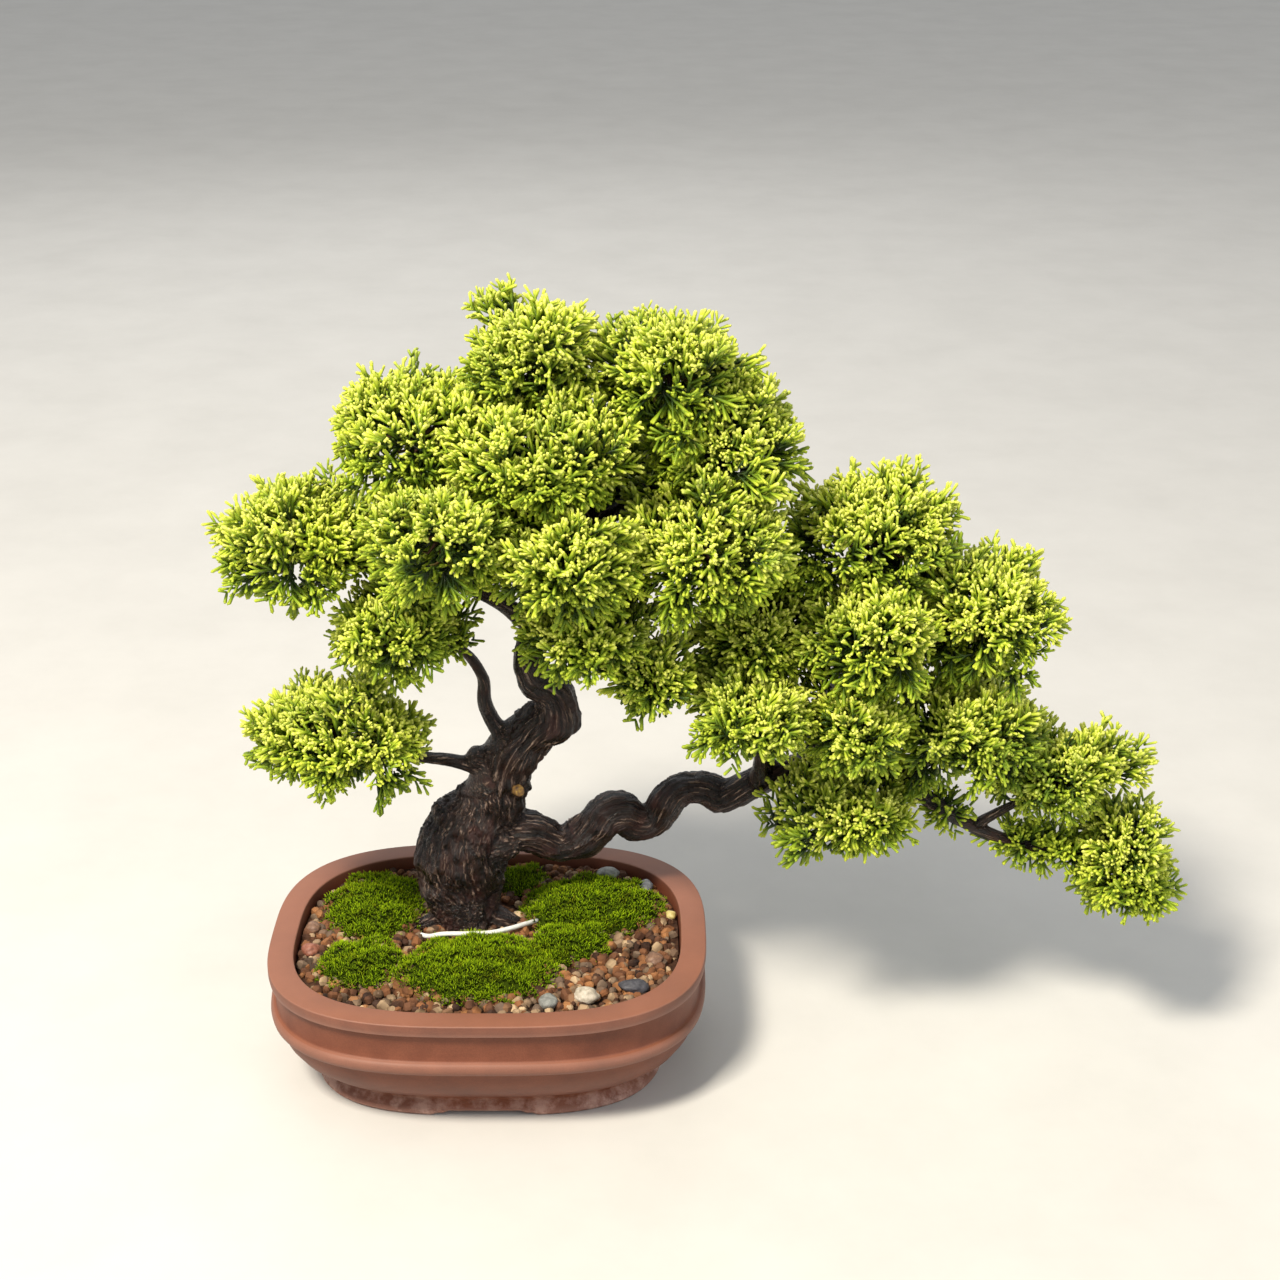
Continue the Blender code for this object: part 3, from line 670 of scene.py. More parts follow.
# Rows of x, y, z and radius in millimetres from the pot's centre, from the root outwards.
TRUNK = (
    (-12, 15, 34, 9), (-12, 15, 46, 13.5), (-12.5, 16, 58, 15), (-13.5, 19, 72, 19),
    (-13.5, 21, 86, 21.5), (-9, 22, 100, 20), (1, 21, 115, 15.5), (5.5, 20, 129, 13.3),
    (12, 18, 143, 12.8), (23, 16, 154, 11.8), (31, 14, 162, 10.4), (31, 13, 173, 9),
    (22, 13, 183, 7.8), (20.5, 14, 197, 6.8), (28.5, 16, 215, 5.8), (39, 16, 238, 4.8),
    (47, 14, 265, 3.9), (50.5, 12, 292, 3), (54, 10, 312, 1.8),
)
LOW_BRANCH = (
    (0, 21, 101, 9), (18.5, 22, 99.5, 9.8), (29, 25, 91.5, 8.6), (38.5, 28, 90.5, 8.9),
    (47, 30, 96, 9.4), (53.5, 32, 102.5, 9.4), (60.5, 34, 102.5, 9.4), (68.5, 36, 96.5, 9),
    (75.5, 37, 96.5, 8.5), (81, 37, 104.5, 8), (89, 36, 113.5, 8), (99, 34, 115.5, 7.9),
    (109, 32, 112.5, 7.4), (125, 28, 122, 6.6), (145, 24, 132.5, 6), (166, 20, 135.5, 5.4),
    (188, 16, 128.5, 4.6), (211, 12, 114, 3.7), (234, 8, 103, 3.2), (258, 6, 97.5, 2.7),
    (280, 3, 92, 1.8), (292, 1, 88, 1.2),
)
LIMBS = (
    ((6, 19, 128, 4), (-13, 16, 138, 3.3), (-27, 12, 142, 2.8), (-44, 8, 147, 2.3), (-84, 4, 153, 1.2)),
    ((9, 18, 146, 4.5), (0, 16, 166, 3.6), (-1, 14, 182, 2.8), (-12, 6, 200, 2.2), (-36, -4, 210, 1.3)),
    ((24, 14, 204, 4.6), (2, 12, 222, 3.8), (-24, 9, 231, 3), (-50, 7, 236, 2.4), (-78, 6, 246, 1.3)),
    ((34, 16, 230, 4), (14, 14, 256, 3.2), (-8, 13, 276, 2.4), (-26, 12, 290, 1.3)),
    ((29, 16, 216, 4), (14, 0, 236, 3), (-8, -22, 258, 1.6)),
    ((36, 16, 231, 4), (38, -8, 240, 3), (37, -32, 250, 1.6)),
    ((46, 14, 258, 3.4), (38, -4, 274, 2.4), (28, -18, 288, 1.3)),
    ((49, 13, 280, 2.8), (38, 10, 302, 2.2), (30, 8, 322, 1.3)),
    ((50, 12, 290, 2.6), (62, 10, 308, 2), (74, 8, 322, 1.2)),
    ((42, 15, 246, 4), (66, 14, 266, 3), (88, 10, 280, 2.3), (104, 8, 290, 1.3)),
    ((38, 16, 236, 4), (62, 4, 240, 3), (82, -8, 246, 2.2), (96, -15, 249, 1.3)),
    ((21, 14, 199, 4), (36, 2, 206, 3), (52, -11, 210, 2), (66, -11, 202, 1.6), (75, -9, 190, 1.1)),
    ((44, 14, 254, 3.6), (50, 34, 260, 2.6), (54, 56, 264, 1.4)),
    ((28, 16, 214, 4), (8, 36, 226, 2.8), (-14, 55, 236, 1.4)),
    ((40, 16, 240, 3.8), (70, 34, 240, 2.6), (98, 50, 238, 1.4)),
    ((128, 27, 123, 5), (124, 26, 150, 4), (120, 19, 176, 3), (118, 14, 200, 1.6)),
    ((147, 24, 133, 5.2), (156, 24, 165, 4.4), (166, 23, 200, 3.4), (173, 21, 242, 1.6)),
    ((160, 24, 180, 3.6), (185, 20, 190, 2.8), (206, 17, 200, 2.2), (224, 14, 208, 1.3)),
    ((157, 24, 170, 3.6), (166, 8, 190, 2.4), (173, -9, 207, 1.3)),
    ((124, 27, 122, 4.6), (124, 8, 145, 3.2), (122, -14, 172, 1.6)),
    ((150, 23, 133, 4), (157, 6, 150, 2.8), (162, -14, 167, 1.5)),
    ((162, 20, 134, 3.6), (164, 10, 126, 2.6), (166, 0, 118, 1.4)),
    ((188, 16, 128, 3.4), (200, 10, 144, 2.5), (212, 3, 159, 1.4)),
    ((222, 10, 108.5, 2.8), (240, 6, 122, 2), (258, 3, 134, 1.2)),
    ((164, 23, 192, 3.2), (176, 40, 192, 2.2), (186, 53, 188, 1.3)),
    ((190, 16, 127, 3.2), (210, 32, 140, 2.2), (226, 42, 150, 1.3)),
)
ROOTS = (
    ((-14, 15, 58, 8), (-30, 12, 54, 6), (-44, 10, 44, 3)),
    ((-10, 12, 57, 7), (-6, 0, 53, 5), (-2, -12, 44, 3)),
    ((-8, 15, 58, 8), (8, 14, 54, 6), (22, 14, 44, 3)),
    ((-12, 18, 57, 8), (-8, 34, 53, 5), (-6, 46, 44, 3)),
)
KNOTS = ((-4, 16, 140, 6.0), (14, 13, 127, 5.0), (6, 13, 96, 8.0), (-20, 14, 112, 6.0))


@dataclass
class Wood:
    """Trunk, low branch, limbs and root flare, grown as one, under stringy bark."""

    voxel: float = 1.0
    spacing: float = 2.0
    string_depth: float = 1.1
    lump_depth: float = 2.4
    rough_depth: float = 1.0
    twist: float = 0.02
    centre_lines: list = field(default_factory=list)

    def tubes(self) -> bpy.types.Object:
        """All limbs and knots as plain tubes and balls in one rough object, in millimetres."""
        bm = bmesh.new()
        for row, limb in enumerate((TRUNK, LOW_BRANCH, *LIMBS, *ROOTS)):
            samples = smooth_path([Vector(point) for point in limb], self.spacing)
            path = [sample.xyz for sample in samples]
            radii = [sample[3] for sample in samples]
            part = bmesh.new()
            grow_tube(part, path, radii, 24 if row < 2 else 12)
            mesh = bpy.data.meshes.new("limb")
            part.to_mesh(mesh)
            part.free()
            bm.from_mesh(mesh)
            bpy.data.meshes.remove(mesh)
            self.centre_lines.append((path, radii))
        for x, y, z, radius in KNOTS:
            bmesh.ops.create_icosphere(bm, subdivisions=3, radius=radius,
                                       matrix=Matrix.Translation((x, y, z)))
        return as_object("rough_wood", bm)

    def fused(self) -> bmesh.types.BMesh:
        """The rough limbs remeshed into one skin and smoothed where they join."""
        rough = self.tubes()
        skin = rough.modifiers.new("skin", "REMESH")
        skin.mode = "VOXEL"
        skin.voxel_size = self.voxel
        mesh = as_modified(rough)
        bm = bmesh.new()
        bm.from_mesh(mesh)
        bpy.data.meshes.remove(mesh)
        bpy.data.objects.remove(rough)
        for _ in range(3):
            bmesh.ops.smooth_vert(bm, verts=bm.verts[:], factor=0.5, use_axis_x=True,
                                  use_axis_y=True, use_axis_z=True)
        return bm

    def frames(self) -> tuple[kdtree.KDTree, list]:
        """A search tree over the centre lines, and each sample's own frame.

        Returns:
            The tree, and for each sample its centre, its two side vectors, its distance from the
            limb's root and its radius.
        """
        rows = []
        for path, radii in self.centre_lines:
            side = None
            gone = 0.0
            for i, centre in enumerate(path):
                ahead = (path[min(i + 1, len(path) - 1)] - path[max(i - 1, 0)]).normalized()
                side = ahead.orthogonal() if side is None else side
                side = (side - ahead * side.dot(ahead)).normalized()
                gone += (centre - path[i - 1]).length if i else 0.0
                rows.append((centre, side, ahead.cross(side), gone, radii[i]))
        tree = kdtree.KDTree(len(rows))
        for index, row in enumerate(rows):
            tree.insert(row[0], index)
        tree.balance()
        return tree, rows

    def barked(self, bm: bmesh.types.BMesh) -> list[Vector]:
        """Raises the bark's strings and lumps.

        Args:
            bm: the smooth skin, in millimetres.

        Returns:
            Each vertex's place in its straightened limb, in metres: across, across, along.
        """
        tree, rows = self.frames()
        bm.normal_update()
        grain = []
        moves = []
        for vert in bm.verts:
            near = min(tree.find_n(vert.co, 6), key=lambda hit: hit[2] - rows[hit[1]][4])
            centre, side, other, gone, radius = rows[near[1]]
            arm = vert.co - centre
            turn = gone * self.twist
            across, deep = arm.dot(side), arm.dot(other)
            spot = Vector((across * math.cos(turn) - deep * math.sin(turn),
                           across * math.sin(turn) + deep * math.cos(turn), gone))
            thick = smooth_step(radius, 1.5, 12.0)
            lumps = noise.noise(vert.co * 0.085)
            rough = noise.noise(vert.co * 0.21 + Vector((5, 1, 3)))
            cords = 1 - abs(noise.noise(Vector((spot.x, spot.y, spot.z * 0.1)) * 0.42)) * 2.4
            strings = noise.noise(Vector((spot.x, spot.y, spot.z * 0.12)) * 0.8 + Vector((9, 4, 2)))
            rise = thick * (lumps * self.lump_depth + rough * self.rough_depth
                            + (cords - 0.55) * self.string_depth)
            rise += strings * (0.2 + 0.7 * thick)
            moves.append(vert.normal * rise)
            grain.append(spot * MM)
        for vert, move in zip(bm.verts, moves):
            vert.co += move
        return grain

    def build(self) -> bpy.types.Object:
        """Builds the wood and dresses it in wet bark."""
        bm = self.fused()
        grain = self.barked(bm)
        set_in_place(bm)
        set_smooth(bm)
        piece = finish_piece("wood", bm, [BARK.material()], ("trunk_and_branches",))
        layer = piece.data.attributes.new(GRAIN, "FLOAT_VECTOR", "POINT")
        layer.data.foreach_set("vector", [number for spot in grain for number in spot])
        return piece


@dataclass
class PrunedEnd:
    """The small pale end left where a shoot was pruned from the trunk."""

    spot: tuple = (13.5, 9.0, 127.5)
    facing: tuple = (0.35, -0.9, 0.2)
    radius: float = 2.3
    flare: float = 1.3
    proud: float = 1.8
    depth: float = 6.0
    waver: float = 0.45

    def build(self) -> bpy.types.Object:
        """Builds the cut end, round at its rim and a little uneven."""
        bm = bmesh.new()
        aim = Vector(self.facing).normalized()
        place = Matrix.Translation(Vector(self.spot) + aim * self.proud / 2) @ turned_to(aim, 0.0)
        bmesh.ops.create_cone(bm, cap_ends=True, segments=28, radius1=self.radius * self.flare,
                              radius2=self.radius, depth=self.proud + self.depth, matrix=place)
        rims = [edge for edge in bm.edges if max(len(face.verts) for face in edge.link_faces) > 4]
        bmesh.ops.bevel(bm, geom=rims, offset=0.6, segments=3, profile=0.5, affect="EDGES",
                        material=-1, clamp_overlap=True)
        for vert in bm.verts:
            vert.co += noise.noise_vector(vert.co * 0.5) * self.waver
        set_in_place(bm)
        for face in bm.faces:
            face.smooth = len(face.verts) == 4
        return finish_piece("pruned_end", bm, [CUT_WOOD.material()])


# ---------------------------------------------------------------- the foliage


@dataclass
class Sprigs:
    """Cord-like sprigs of scale leaves: a stem with side cords, and side cords on those."""

    kinds: int = 9
    length: float = 15.0
    thickness: float = 0.66
    sides: int = 4
    pairs: int = 3
    dice: random.Random = field(default_factory=lambda: random.Random(11))

    def cord(self, bm: bmesh.types.BMesh, root: Vector, tip: Vector, low: float, high: float,
             bends: int = 1) -> None:
        """One cord from a root to a tip, which runs from low to high in the map."""
        span = tip - root
        swing = shaken(self.dice, 0.09) * span.length
        path = [root, *[root + span * (0.78 * k / bends) + swing * k for k in range(1, bends + 1)]]
        radii = [self.thickness * 0.7] + [self.thickness * self.dice.uniform(0.9, 1.1)] * bends
        spots = grow_tube(bm, path, radii, self.sides, pointed=True)
        map_along(bm, {vert: low + (high - low) * spot for vert, spot in spots.items()})

    def sprig(self, index: int) -> Stamp:
        """One kind of sprig, in millimetres, growing along +Z from the origin."""
        bm = bmesh.new()
        bm.loops.layers.uv.new(UV_NAME)
        length = self.length * self.dice.uniform(0.85, 1.15)
        lean = Vector((self.dice.uniform(-0.15, 0.15), self.dice.uniform(-0.15, 0.15), 1.0))
        self.cord(bm, Vector((0, 0, 0)), lean * length, 0.0, 1.0, bends=2)
        for pair in range(self.pairs):
            for hand in (-1, 1):
                up = 0.12 + 0.25 * pair + self.dice.uniform(0.0, 0.14)
                root = lean * length * up
                spread_angle = self.dice.uniform(0.45, 0.85)
                out = self.dice.uniform(-0.9, 0.9)
                aim = Vector((hand * math.sin(spread_angle), out * math.sin(spread_angle),
                              math.cos(spread_angle))).normalized()
                reach = length * (0.66 - 0.42 * up) * self.dice.uniform(0.8, 1.2)
                self.cord(bm, root, root + aim * reach, up * 0.8, 0.95)
                if pair < 2:
                    bud = root + aim * reach * self.dice.uniform(0.35, 0.5)
                    side = (aim + Vector((hand * 0.1, self.dice.uniform(-1, 1), 0.6))).normalized()
                    self.cord(bm, bud, bud + side * reach * 0.6, up * 0.8 + 0.25, 0.95)
        return Stamp(f"sprig_{index}", bm)

    def make(self) -> list[Stamp]:
        """All the kinds of sprig."""
        return [self.sprig(index) for index in range(self.kinds)]


@dataclass
class Foliage:
    """Foliage grown over the limbs' pads: small tufts close together, each a spray of sprigs."""

    tuft_spacing: float = 11.6
    tuft_depth: float = 17.5
    sprigs_in_tuft: int = 5
    fan_width: float = 0.6
    lift: float = 0.42
    sway: float = 0.8
    clump: float = 19.0
    clump_width: float = 18.0
    shoot_share: float = 0.22
    blend: float = 11.0
    bare_below: float = 0.25
    inner_sprigs: int = 24
    limb_spacing: float = 5.0
    limb_radius: float = 3.9
    limb_reach: float = 16.0
    dice: random.Random = field(default_factory=lambda: random.Random(23))
    pads: dict = field(default_factory=dict)
    meshes: dict = field(default_factory=dict)

    def measure(self) -> None:
        """Reads each pad's middle and half sizes from the frame."""
        for node in sorted(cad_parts):
            if node.startswith("foliage_"):
                low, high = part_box(node)
                half = [max(size, 4.0) for size in (high - low) / 2 / MM
                        - Vector([self.tuft_depth] * 3)]
                self.pads[node] = ((low + high) / 2 / MM, half)
                self.meshes[node] = bmesh.new()

    def crowding(self, point: Vector) -> tuple[float, str, float, Vector]:
        """How full of foliage a place is.

        Args:
            point: the place, in millimetres.

        Returns:
            The fullness, 1 on the blended skin of the pads; the nearest pad; how far outside it the
            place lies, in millimetres; and the way the blended skin faces.
        """
        total, facing, nearest = 0.0, Vector(), (math.inf, "")
        for name, (middle, half) in self.pads.items():
            gap = point - middle
            out = Vector([gap[i] / half[i] for i in range(3)])
            beyond = gap.length * (1 - 1 / max(out.length, 0.01))
            if beyond > 5 * self.blend:
                continue
            share = math.exp(-beyond / self.blend)
            total += share
            facing += share * Vector([out[i] / half[i] for i in range(3)]).normalized()
            nearest = min(nearest, (beyond, name))
        return total, nearest[1], nearest[0], facing.normalized()

    def tufts(self, name: str) -> list[tuple[Vector, Vector]]:
        """Each tuft's place on a pad's share of the blended skin, and the way it faces."""
        middle, half = self.pads[name]
        count = round(4 * math.pi * ((sum(half) / 3 + 12) / self.tuft_spacing) ** 2)
        found = []
        for way in spread(count, self.dice, 0.16):
            arm = stretched(way, half)
            for step in range(16):
                point = middle + arm + arm.normalized() * 1.6 * step
                total, nearest, _, facing = self.crowding(point)
                if total < 1.08:
                    break
            bare = facing.z < -0.35 and self.dice.random() < self.bare_below
            if total < 1.08 and nearest == name and not bare:
                rise = noise.noise(point / self.clump_width) * self.clump
                rise += self.dice.uniform(-3.5, 2.0)
                if self.dice.random() < self.shoot_share:
                    rise += self.dice.uniform(2.0, 7.0)
                found.append((point + facing * rise, facing))
        return found

    def grow(self, kinds: list[Stamp], pad: str, root: Vector, aim: Vector, tone: float,
             shade: float) -> None:
        """Stamps one sprig on a pad."""
        place = (Matrix.Translation(root * MM) @ turned_to(aim, self.dice.uniform(0, math.tau))
                 @ Matrix.Scale(self.dice.uniform(0.85, 1.3) * MM, 4))
        self.dice.choice(kinds).press(self.meshes[pad], place, min(1.0, max(0.0, tone)), shade)

    def along_limbs(self, kinds: list[Stamp]) -> None:
        """Dresses the thin ends of the limbs, where they show between pads."""
        for limb in (LOW_BRANCH, *LIMBS):
            reach, count = (2 * self.limb_reach, 9) if limb is LOW_BRANCH else (self.limb_reach, 4)
            for sample in smooth_path([Vector(point) for point in limb], self.limb_spacing):
                point = sample.xyz + CENTRE / MM
                _, nearest, out, _ = self.crowding(point)
                if sample[3] > self.limb_radius or not -4 < out < reach:
                    continue
                for way in spread(count, self.dice, 0.5):
                    aim = (way + UP * 0.4).normalized()
                    self.grow(kinds, nearest, point, aim, self.dice.random(), 0.85)

    def build(self) -> list[bpy.types.Object]:
        """Builds every pad as one piece."""
        self.measure()
        kinds = Sprigs().make()
        leaf = SCALE_LEAF.material()
        for name, (middle, half) in self.pads.items():
            for point, facing in self.tufts(name):
                shade = 0.78 + 0.22 * smooth_step(facing.z, -0.6, 0.3)
                tone = 0.5 + 0.6 * noise.noise(point * 0.04) + self.dice.uniform(-0.2, 0.2)
                axis = facing + UP * self.lift + shaken(self.dice, self.sway)
                for way in spread(self.sprigs_in_tuft, self.dice, 0.35):
                    aim = (axis.normalized() + way * self.fan_width).normalized()
                    self.grow(kinds, name, point + way * self.dice.uniform(0.5, 3.0), aim,
                              tone + self.dice.uniform(-0.2, 0.2), shade)
            # Inner sprigs deep in each pad take a dark tone and a short reach of the base-to-tip colours:
            # painted shade.
            for way in spread(self.inner_sprigs, self.dice, 0.4):
                root = middle + stretched(way, half) * 0.45
                self.grow(kinds, name, root, way, 0.25, 0.42)
        self.along_limbs(kinds)
        return [finish_piece(name.replace("foliage_", "sprigs_"), bm, [leaf], (name,))
                for name, bm in self.meshes.items()]


@dataclass
class Twigs:
    """Fine twigs that carry the tufts, from each pad's middle outwards."""

    sides: int = 5
    thick: float = 1.0
    thin: float = 0.45
    dice: random.Random = field(default_factory=lambda: random.Random(31))

    def build(self, foliage: Foliage) -> bpy.types.Object:
        """Builds all the fine twigs as one piece."""
        bm = bmesh.new()
        bm.loops.layers.uv.new(UV_NAME)
        for name, (middle, half) in foliage.pads.items():
            for way in spread(11, self.dice, 0.3):
                tip = middle + Vector([way[i] * (half[i] + 3.0) for i in range(3)])
                bend = shaken(self.dice, 3) - UP * 2
                path = smooth_path([middle, middle.lerp(tip, 0.5) + bend, tip], 5.0)
                count = len(path) - 1
                radii = [self.thick + (self.thin - self.thick) * k / count for k in range(count + 1)]
                spots = grow_tube(bm, path, radii, self.sides)
                map_along(bm, spots, self.dice.random())
        bmesh.ops.scale(bm, vec=(MM, MM, MM), verts=bm.verts)
        set_smooth(bm)
        return finish_piece("fine_twigs", bm, [TWIG.material()])


# ---------------------------------------------------------------- the ground


@dataclass
class Granules:
    """Loose clay granules over the soil, two or three deep."""

    count: int = 2600
    size: tuple = (1.3, 2.9)
    power: float = 3.0
    dice: random.Random = field(default_factory=lambda: random.Random(5))

    def grain(self, index: int) -> Stamp:
        """One kind of grain, a broken lump about 2 across."""
        bm = bmesh.new()
        bmesh.ops.create_cube(bm, size=1.7)
        for vert in bm.verts:
            vert.co += shaken(self.dice, 0.3)
        bmesh.ops.bevel(bm, geom=bm.edges[:], offset=0.42, segments=1, profile=0.5,
                        affect="EDGES", material=-1, clamp_overlap=True)
        bm.loops.layers.uv.new(UV_NAME)
        map_along(bm, {vert: 0.5 + 0.5 * vert.co.z for vert in bm.verts})
        return Stamp(f"grain_{index}", bm, smooth=False)

    def build(self) -> bpy.types.Object:
        """Scatters the grains inside the pot's rim."""
        kinds = [self.grain(index) for index in range(14)]
        low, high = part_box("soil")
        half = (high - low) / 2 / MM
        top = (high.z - CENTRE.z) / MM
        bm = bmesh.new()
        placed_count = 0
        while placed_count < self.count:
            x = self.dice.uniform(-half.x, half.x)
            y = self.dice.uniform(-half.y, half.y)
            edge = (abs(x) / (half.x - 1.5)) ** self.power + (abs(y) / (half.y - 1.5)) ** self.power
            if edge > 1:
                continue
            size = self.dice.uniform(*self.size)
            z = top + self.dice.uniform(-0.5, 0.9) + size * 0.35 - 0.9 * smooth_step(edge, 0.75, 1.0)
            turn = self.dice.uniform(0, math.tau)
            spin = Matrix.Rotation(turn, 4, shaken(self.dice, 1).normalized())
            place = Matrix.Translation(placed(x, y, z)) @ spin @ Matrix.Scale(size * MM, 4)
            self.dice.choice(kinds).press(bm, place, self.dice.random())
            placed_count += 1
        return finish_piece("granules", bm, [GRANULES.material()])


@dataclass
class MossMounds:
    """Cushions of moss: a lumpy bed, thick with short upright shoots."""

    spacing: float = 1.5
    shoot: float = 2.6
    lump: float = 3.0
    ragged: float = 0.35
    spill: float = 1.1
    bed_share: float = 0.88
    dice: random.Random = field(default_factory=lambda: random.Random(3))

    def shoots(self, index: int) -> Stamp:
        """One kind of shoot: a few pointed leaves round a stem, in millimetres."""
        bm = bmesh.new()
        bm.loops.layers.uv.new(UV_NAME)
        for leaf in range(4):
            turn = math.tau * (leaf + self.dice.uniform(-0.3, 0.3)) / 4
            lean = self.dice.uniform(0.2, 1.1)
            aim = Vector((lean * math.cos(turn), lean * math.sin(turn), 1.0)).normalized()
            tall = self.shoot * self.dice.uniform(0.6, 1.1)
            before = set(bm.verts)
            bmesh.ops.create_cone(bm, cap_ends=True, segments=3, radius1=0.36, radius2=0.06,
                                  depth=tall, matrix=turned_to(aim, 0) @ Matrix.Translation(
                                      (0, 0, tall / 2)))
            map_along(bm, {v: min(1.0, max(0.0, v.co.z / self.shoot)) for v in bm.verts
                           if v not in before}, 0.5)
        return Stamp(f"shoot_{index}", bm)

    def height(self, x: float, y: float, half: Vector) -> float:
        """The bed's height over the soil at a place in the mound, or below zero outside it."""
        reach = (x / half.x) ** 2 + (y / half.y) ** 2
        reach += self.ragged * noise.noise(Vector((x * 0.12, y * 0.12, half.x)))
        return half.z * (math.sqrt(max(0.0, 1 - reach)) if reach < 1 else -1.0)

    def build(self) -> list[bpy.types.Object]:
        """Builds each mound from its node's box."""
        kinds = [self.shoots(index) for index in range(6)]
        finish = MOSS.material()
        pieces = []
        for node in sorted(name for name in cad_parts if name.startswith("moss_")):
            low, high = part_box(node)
            middle = Vector(((low.x + high.x) / 2, (low.y + high.y) / 2, low.z))
            half = Vector(((high.x - low.x) / 2, (high.y - low.y) / 2, high.z - low.z)) / MM
            half.xy *= self.spill
            bm = bmesh.new()
            bm.loops.layers.uv.new(UV_NAME)
            bmesh.ops.create_icosphere(bm, subdivisions=5, radius=1.0)
            for vert in bm.verts:
                vert.co = stretched(vert.co, half * self.bed_share)
                vert.co.z = max(vert.co.z, -1.0)
                swell = noise.noise((vert.co + middle / MM) * 0.11)
                vert.co += vert.co.normalized() * swell * self.lump - UP * 1.6
            map_along(bm, {vert: 0.12 for vert in bm.verts}, 0.3)
            set_in_place(bm, middle)
            columns = int(2 * half.x / self.spacing)
            lines = int(2 * half.y / self.spacing)
            for column in range(columns):
                for line in range(lines):
                    x = -half.x + (column + self.dice.random()) * self.spacing
                    y = -half.y + (line + self.dice.random()) * self.spacing
                    high_there = self.height(x, y, half)
                    if high_there < 0:
                        continue
                    swell = noise.noise((Vector((x, y, high_there)) + middle / MM) * 0.11)
                    out = Vector((x / half.x ** 2, y / half.y ** 2, high_there / half.z ** 2))
                    aim = (out.normalized() + UP * 0.8 + shaken(self.dice, 0.25)).normalized()
                    place = (Matrix.Translation(middle + Vector(
                        (x, y, high_there - 1.9 + swell * self.lump)) * MM)
                        @ turned_to(aim, self.dice.uniform(0, math.tau))
                        @ Matrix.Scale(self.dice.uniform(0.7, 1.2) * MM, 4))
                    dry = 0.5 + 0.5 * noise.noise((middle / MM + Vector((x, y, 0))) * 0.16)
                    tone = min(1.0, max(0.0, dry + self.dice.uniform(-0.25, 0.25)))
                    self.dice.choice(kinds).press(bm, place, tone)
            set_smooth(bm)
            pieces.append(finish_piece(node.replace("moss_", "cushion_"), bm, [finish],
                                       (node,)))
        return pieces


class StoneTone(Enum):
    """The loose stones' colours: body, darker patches, paler flecks."""

    PALE = ("#B9AE9C", "#8F8472", "#D8D0C2")
    GREY = ("#83847F", "#62635F", "#A5A69F")
    DARK = ("#45444A", "#303036", "#66656A")
    BROWN = ("#7C5C48", "#5C4234", "#9A7A62")
    YELLOW = ("#C4B46E", "#A08F52", "#DDD09A")
    SLATE = ("#6B6D70", "#515357", "#8B8D90")
    RED = ("#8C5642", "#6A3E30", "#A87460")


@dataclass
class LooseStones:
    """Larger stones that lie on the granules, each rounded by wear in its own way."""

    detail: int = 4
    wear: float = 0.22

    def build(self) -> list[bpy.types.Object]:
        """Builds each stone from its node's box."""
        pieces = []
        for index, node in enumerate(sorted(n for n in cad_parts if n.startswith("stone_"))):
            low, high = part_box(node)
            middle = (low + high) / 2
            half = (high - low) / 2
            bm = bmesh.new()
            bmesh.ops.create_icosphere(bm, subdivisions=self.detail, radius=1.0)
            for vert in bm.verts:
                broad = noise.noise(vert.co * 1.1 + Vector((index * 5.0, 3, 1)))
                fine = noise.noise(vert.co * 4.5 + Vector((index * 5.0, 0, 7)))
                vert.co *= 1 + self.wear * broad + 0.05 * fine
            bmesh.ops.scale(bm, vec=(half.x, half.y, half.z * 1.1), verts=bm.verts)
            bmesh.ops.translate(bm, vec=middle, verts=bm.verts)
            set_smooth(bm)
            tone = node.split("_")[1]
            first, second, fleck = StoneTone[tone.upper()].value
            finish = Speckled(f"river_stone_{tone}", roughness=0.55, first=first, second=second,
                              fleck=fleck, patch_mm=2.2, bump_mm=0.25)
            pieces.append(finish_piece(node.replace("stone_", "pebble_"), bm,
                                       [finish.material()], (node,)))
        return pieces


@dataclass
class AnchorTie:
    """The white coated wire that holds the root base down."""

    radius: float = 1.1
    sides: int = 16
    drain_offset: float = 45.0
    wire_offset: float = 6.545

    def route(self) -> list[Vector]:
        """Up one drain hole, round the foot of the trunk, down the other."""
        hole, back = self.drain_offset, -self.wire_offset
        return [Vector(point) for point in (
            (-12, back, 3.6), (-27, back, 3.6), (-41, back, 3.8), (-hole, back, 8),
            (-hole, back, 14), (-45, -3, 30), (-42, 3, 46), (-36, 4, 54), (-28, -2, 57),
            (-21, -5, 60), (-9, -6, 60.8), (1, -5, 60.8), (10, 0, 60.2), (16, 6, 58.8),
            (22, 14, 56), (27, 20, 53), (34, 16, 46), (42, 2, 30), (hole, back, 14),
            (hole, back, 8), (41, back, 3.8), (22, back, 3.6), (4, back, 3.6))]

    def build(self) -> bpy.types.Object:
        """Builds the tie as one smooth wire."""
        path = smooth_path(self.route(), 1.5)
        bm = bmesh.new()
        grow_tube(bm, path, [self.radius] * len(path), self.sides)
        set_in_place(bm)
        for face in bm.faces:
            face.smooth = len(face.verts) == 4
        return finish_piece("anchor_wire", bm, [COATED.material()], ("anchor_tie",))


def dress_nodes() -> None:
    """Gives the frame's own nodes that stay in view or inside their finishes."""
    finishes = {"soil": SUBSTRATE.material(), "drain_screen": NETTING.material(),
                "screen_clip": STAPLE.material()}
    for name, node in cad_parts.items():
        for start, material in finishes.items():
            if name.startswith(start):
                node.data.materials.clear()
                node.data.materials.append(material)


# ---------------------------------------------------------------- the studio


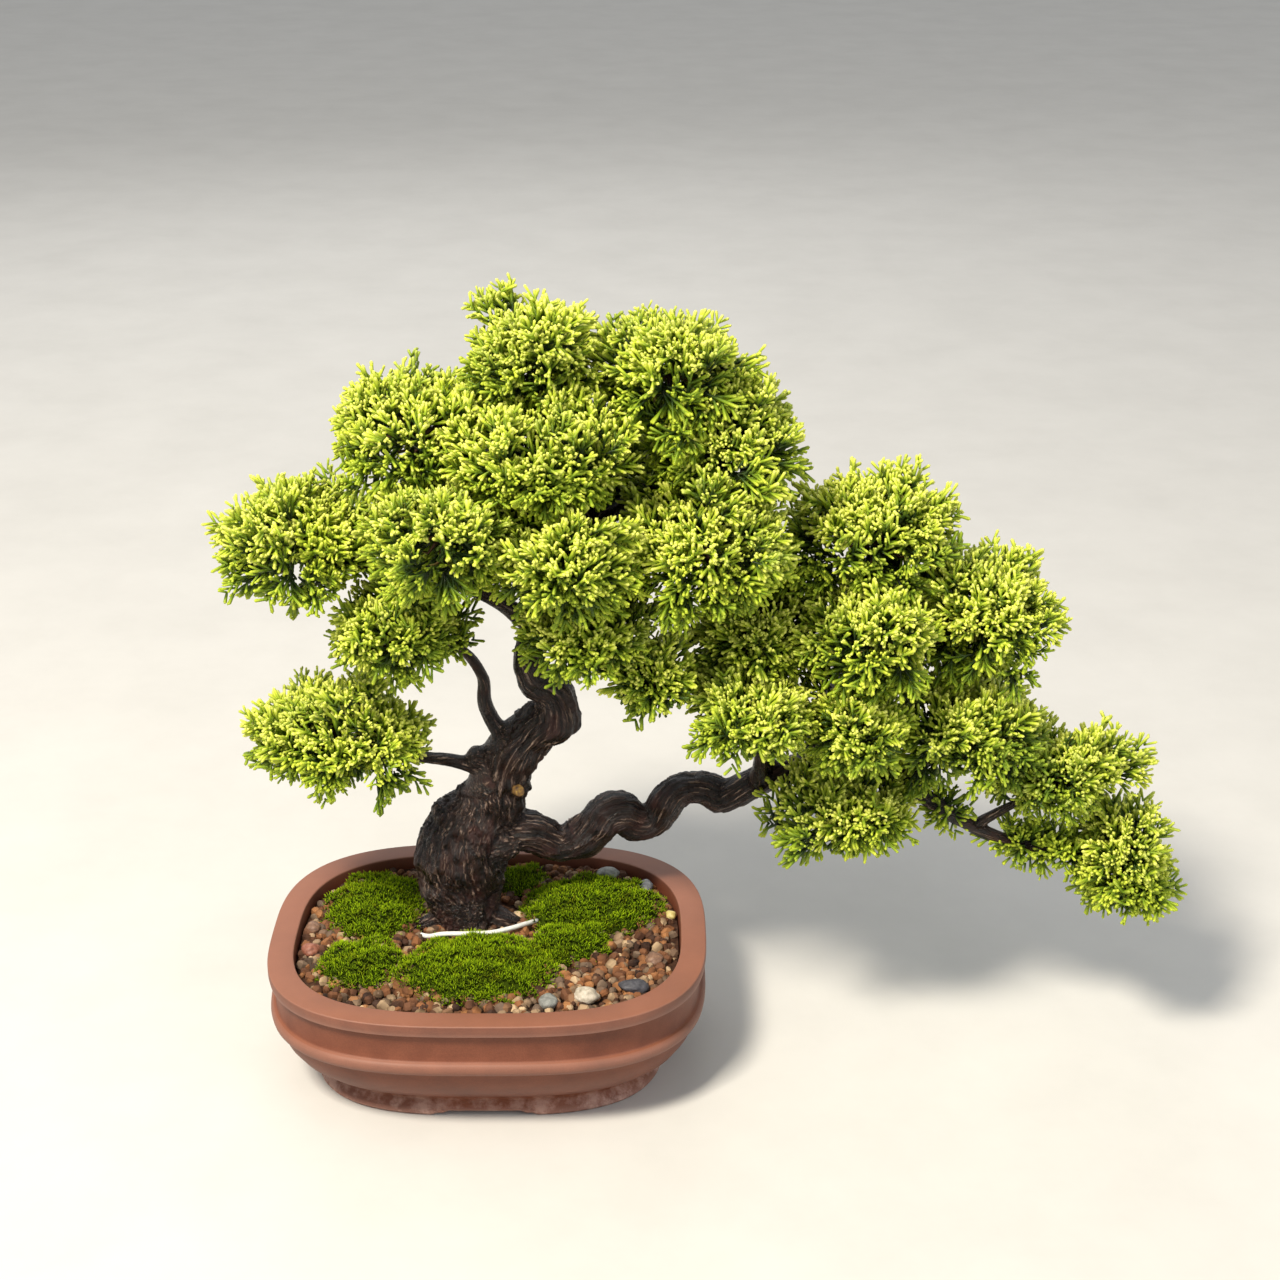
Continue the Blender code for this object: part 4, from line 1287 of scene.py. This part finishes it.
@dataclass
class Studio:
    """A plain pale floor, soft light from the upper left front, and the camera."""

    eye: tuple = (69.5, -884.0, 584.0)
    down_degrees: float = 23.2
    view_degrees: float = 32.4
    floor_side: float = 12.0

    def floor(self) -> None:
        """A large flat floor under the pot."""
        bm = bmesh.new()
        bmesh.ops.create_grid(bm, x_segments=8, y_segments=8, size=self.floor_side / 2)
        ground = as_object("floor", bm)
        ground.data.materials.append(FLOOR.material())

    def lamp(self, name: str, place: Vector, aim: Vector, side: float, watts: float,
             colour: str) -> None:
        """Adds a square area light that faces a point."""
        light = bpy.data.lights.new(name, "AREA")
        light.size = side
        light.energy = watts
        light.color = linear(colour)[:3]
        lamp = bpy.data.objects.new(name, light)
        lamp.matrix_world = Matrix.Translation(place) @ turned_to(place - aim, 0.0)
        bpy.context.scene.collection.objects.link(lamp)

    def lights(self) -> None:
        """A key light, a broad fill, and an even surround."""
        middle = placed(80, 0, 190)
        self.lamp("key", placed(-650, -950, 1750), middle, 0.4, 62.0, "#FFF6E6")
        self.lamp("fill", placed(1500, -1300, 900), middle, 1.6, 9.0, "#F2F6FF")
        self.lamp("back", placed(-300, 1500, 1300), middle, 1.4, 8.0, "#FFFFFF")
        world = bpy.data.worlds.new("surround")
        world.use_nodes = True
        backdrop = world.node_tree.nodes["Background"]
        backdrop.inputs["Color"].default_value = linear("#EEF1F5")
        backdrop.inputs["Strength"].default_value = 0.6
        bpy.context.scene.world = world

    def camera(self) -> None:
        """The camera, level and a little above the tree."""
        lens = bpy.data.cameras.new("view")
        lens.angle = math.radians(self.view_degrees)
        lens.clip_start = 0.01
        eye = bpy.data.objects.new("view", lens)
        eye.matrix_world = Matrix.Translation(placed(*self.eye)) @ Matrix.Rotation(
            math.radians(90 - self.down_degrees), 4, "X")
        bpy.context.scene.collection.objects.link(eye)
        bpy.context.scene.camera = eye

    def build(self) -> None:
        """Sets up the floor, the lights and the camera."""
        self.floor()
        self.lights()
        self.camera()
        bpy.context.scene.view_settings.view_transform = "Standard"


def main() -> None:
    """Builds and dresses the bonsai, piece by piece."""
    logging.basicConfig(level=logging.INFO, format="%(name)s %(message)s")
    Studio().build()
    dress_nodes()
    PotShell().build()
    Wood().build()
    PrunedEnd().build()
    foliage = Foliage()
    foliage.build()
    Twigs().build(foliage)
    Granules().build()
    MossMounds().build()
    LooseStones().build()
    AnchorTie().build()


if __name__ == "__main__":
    main()
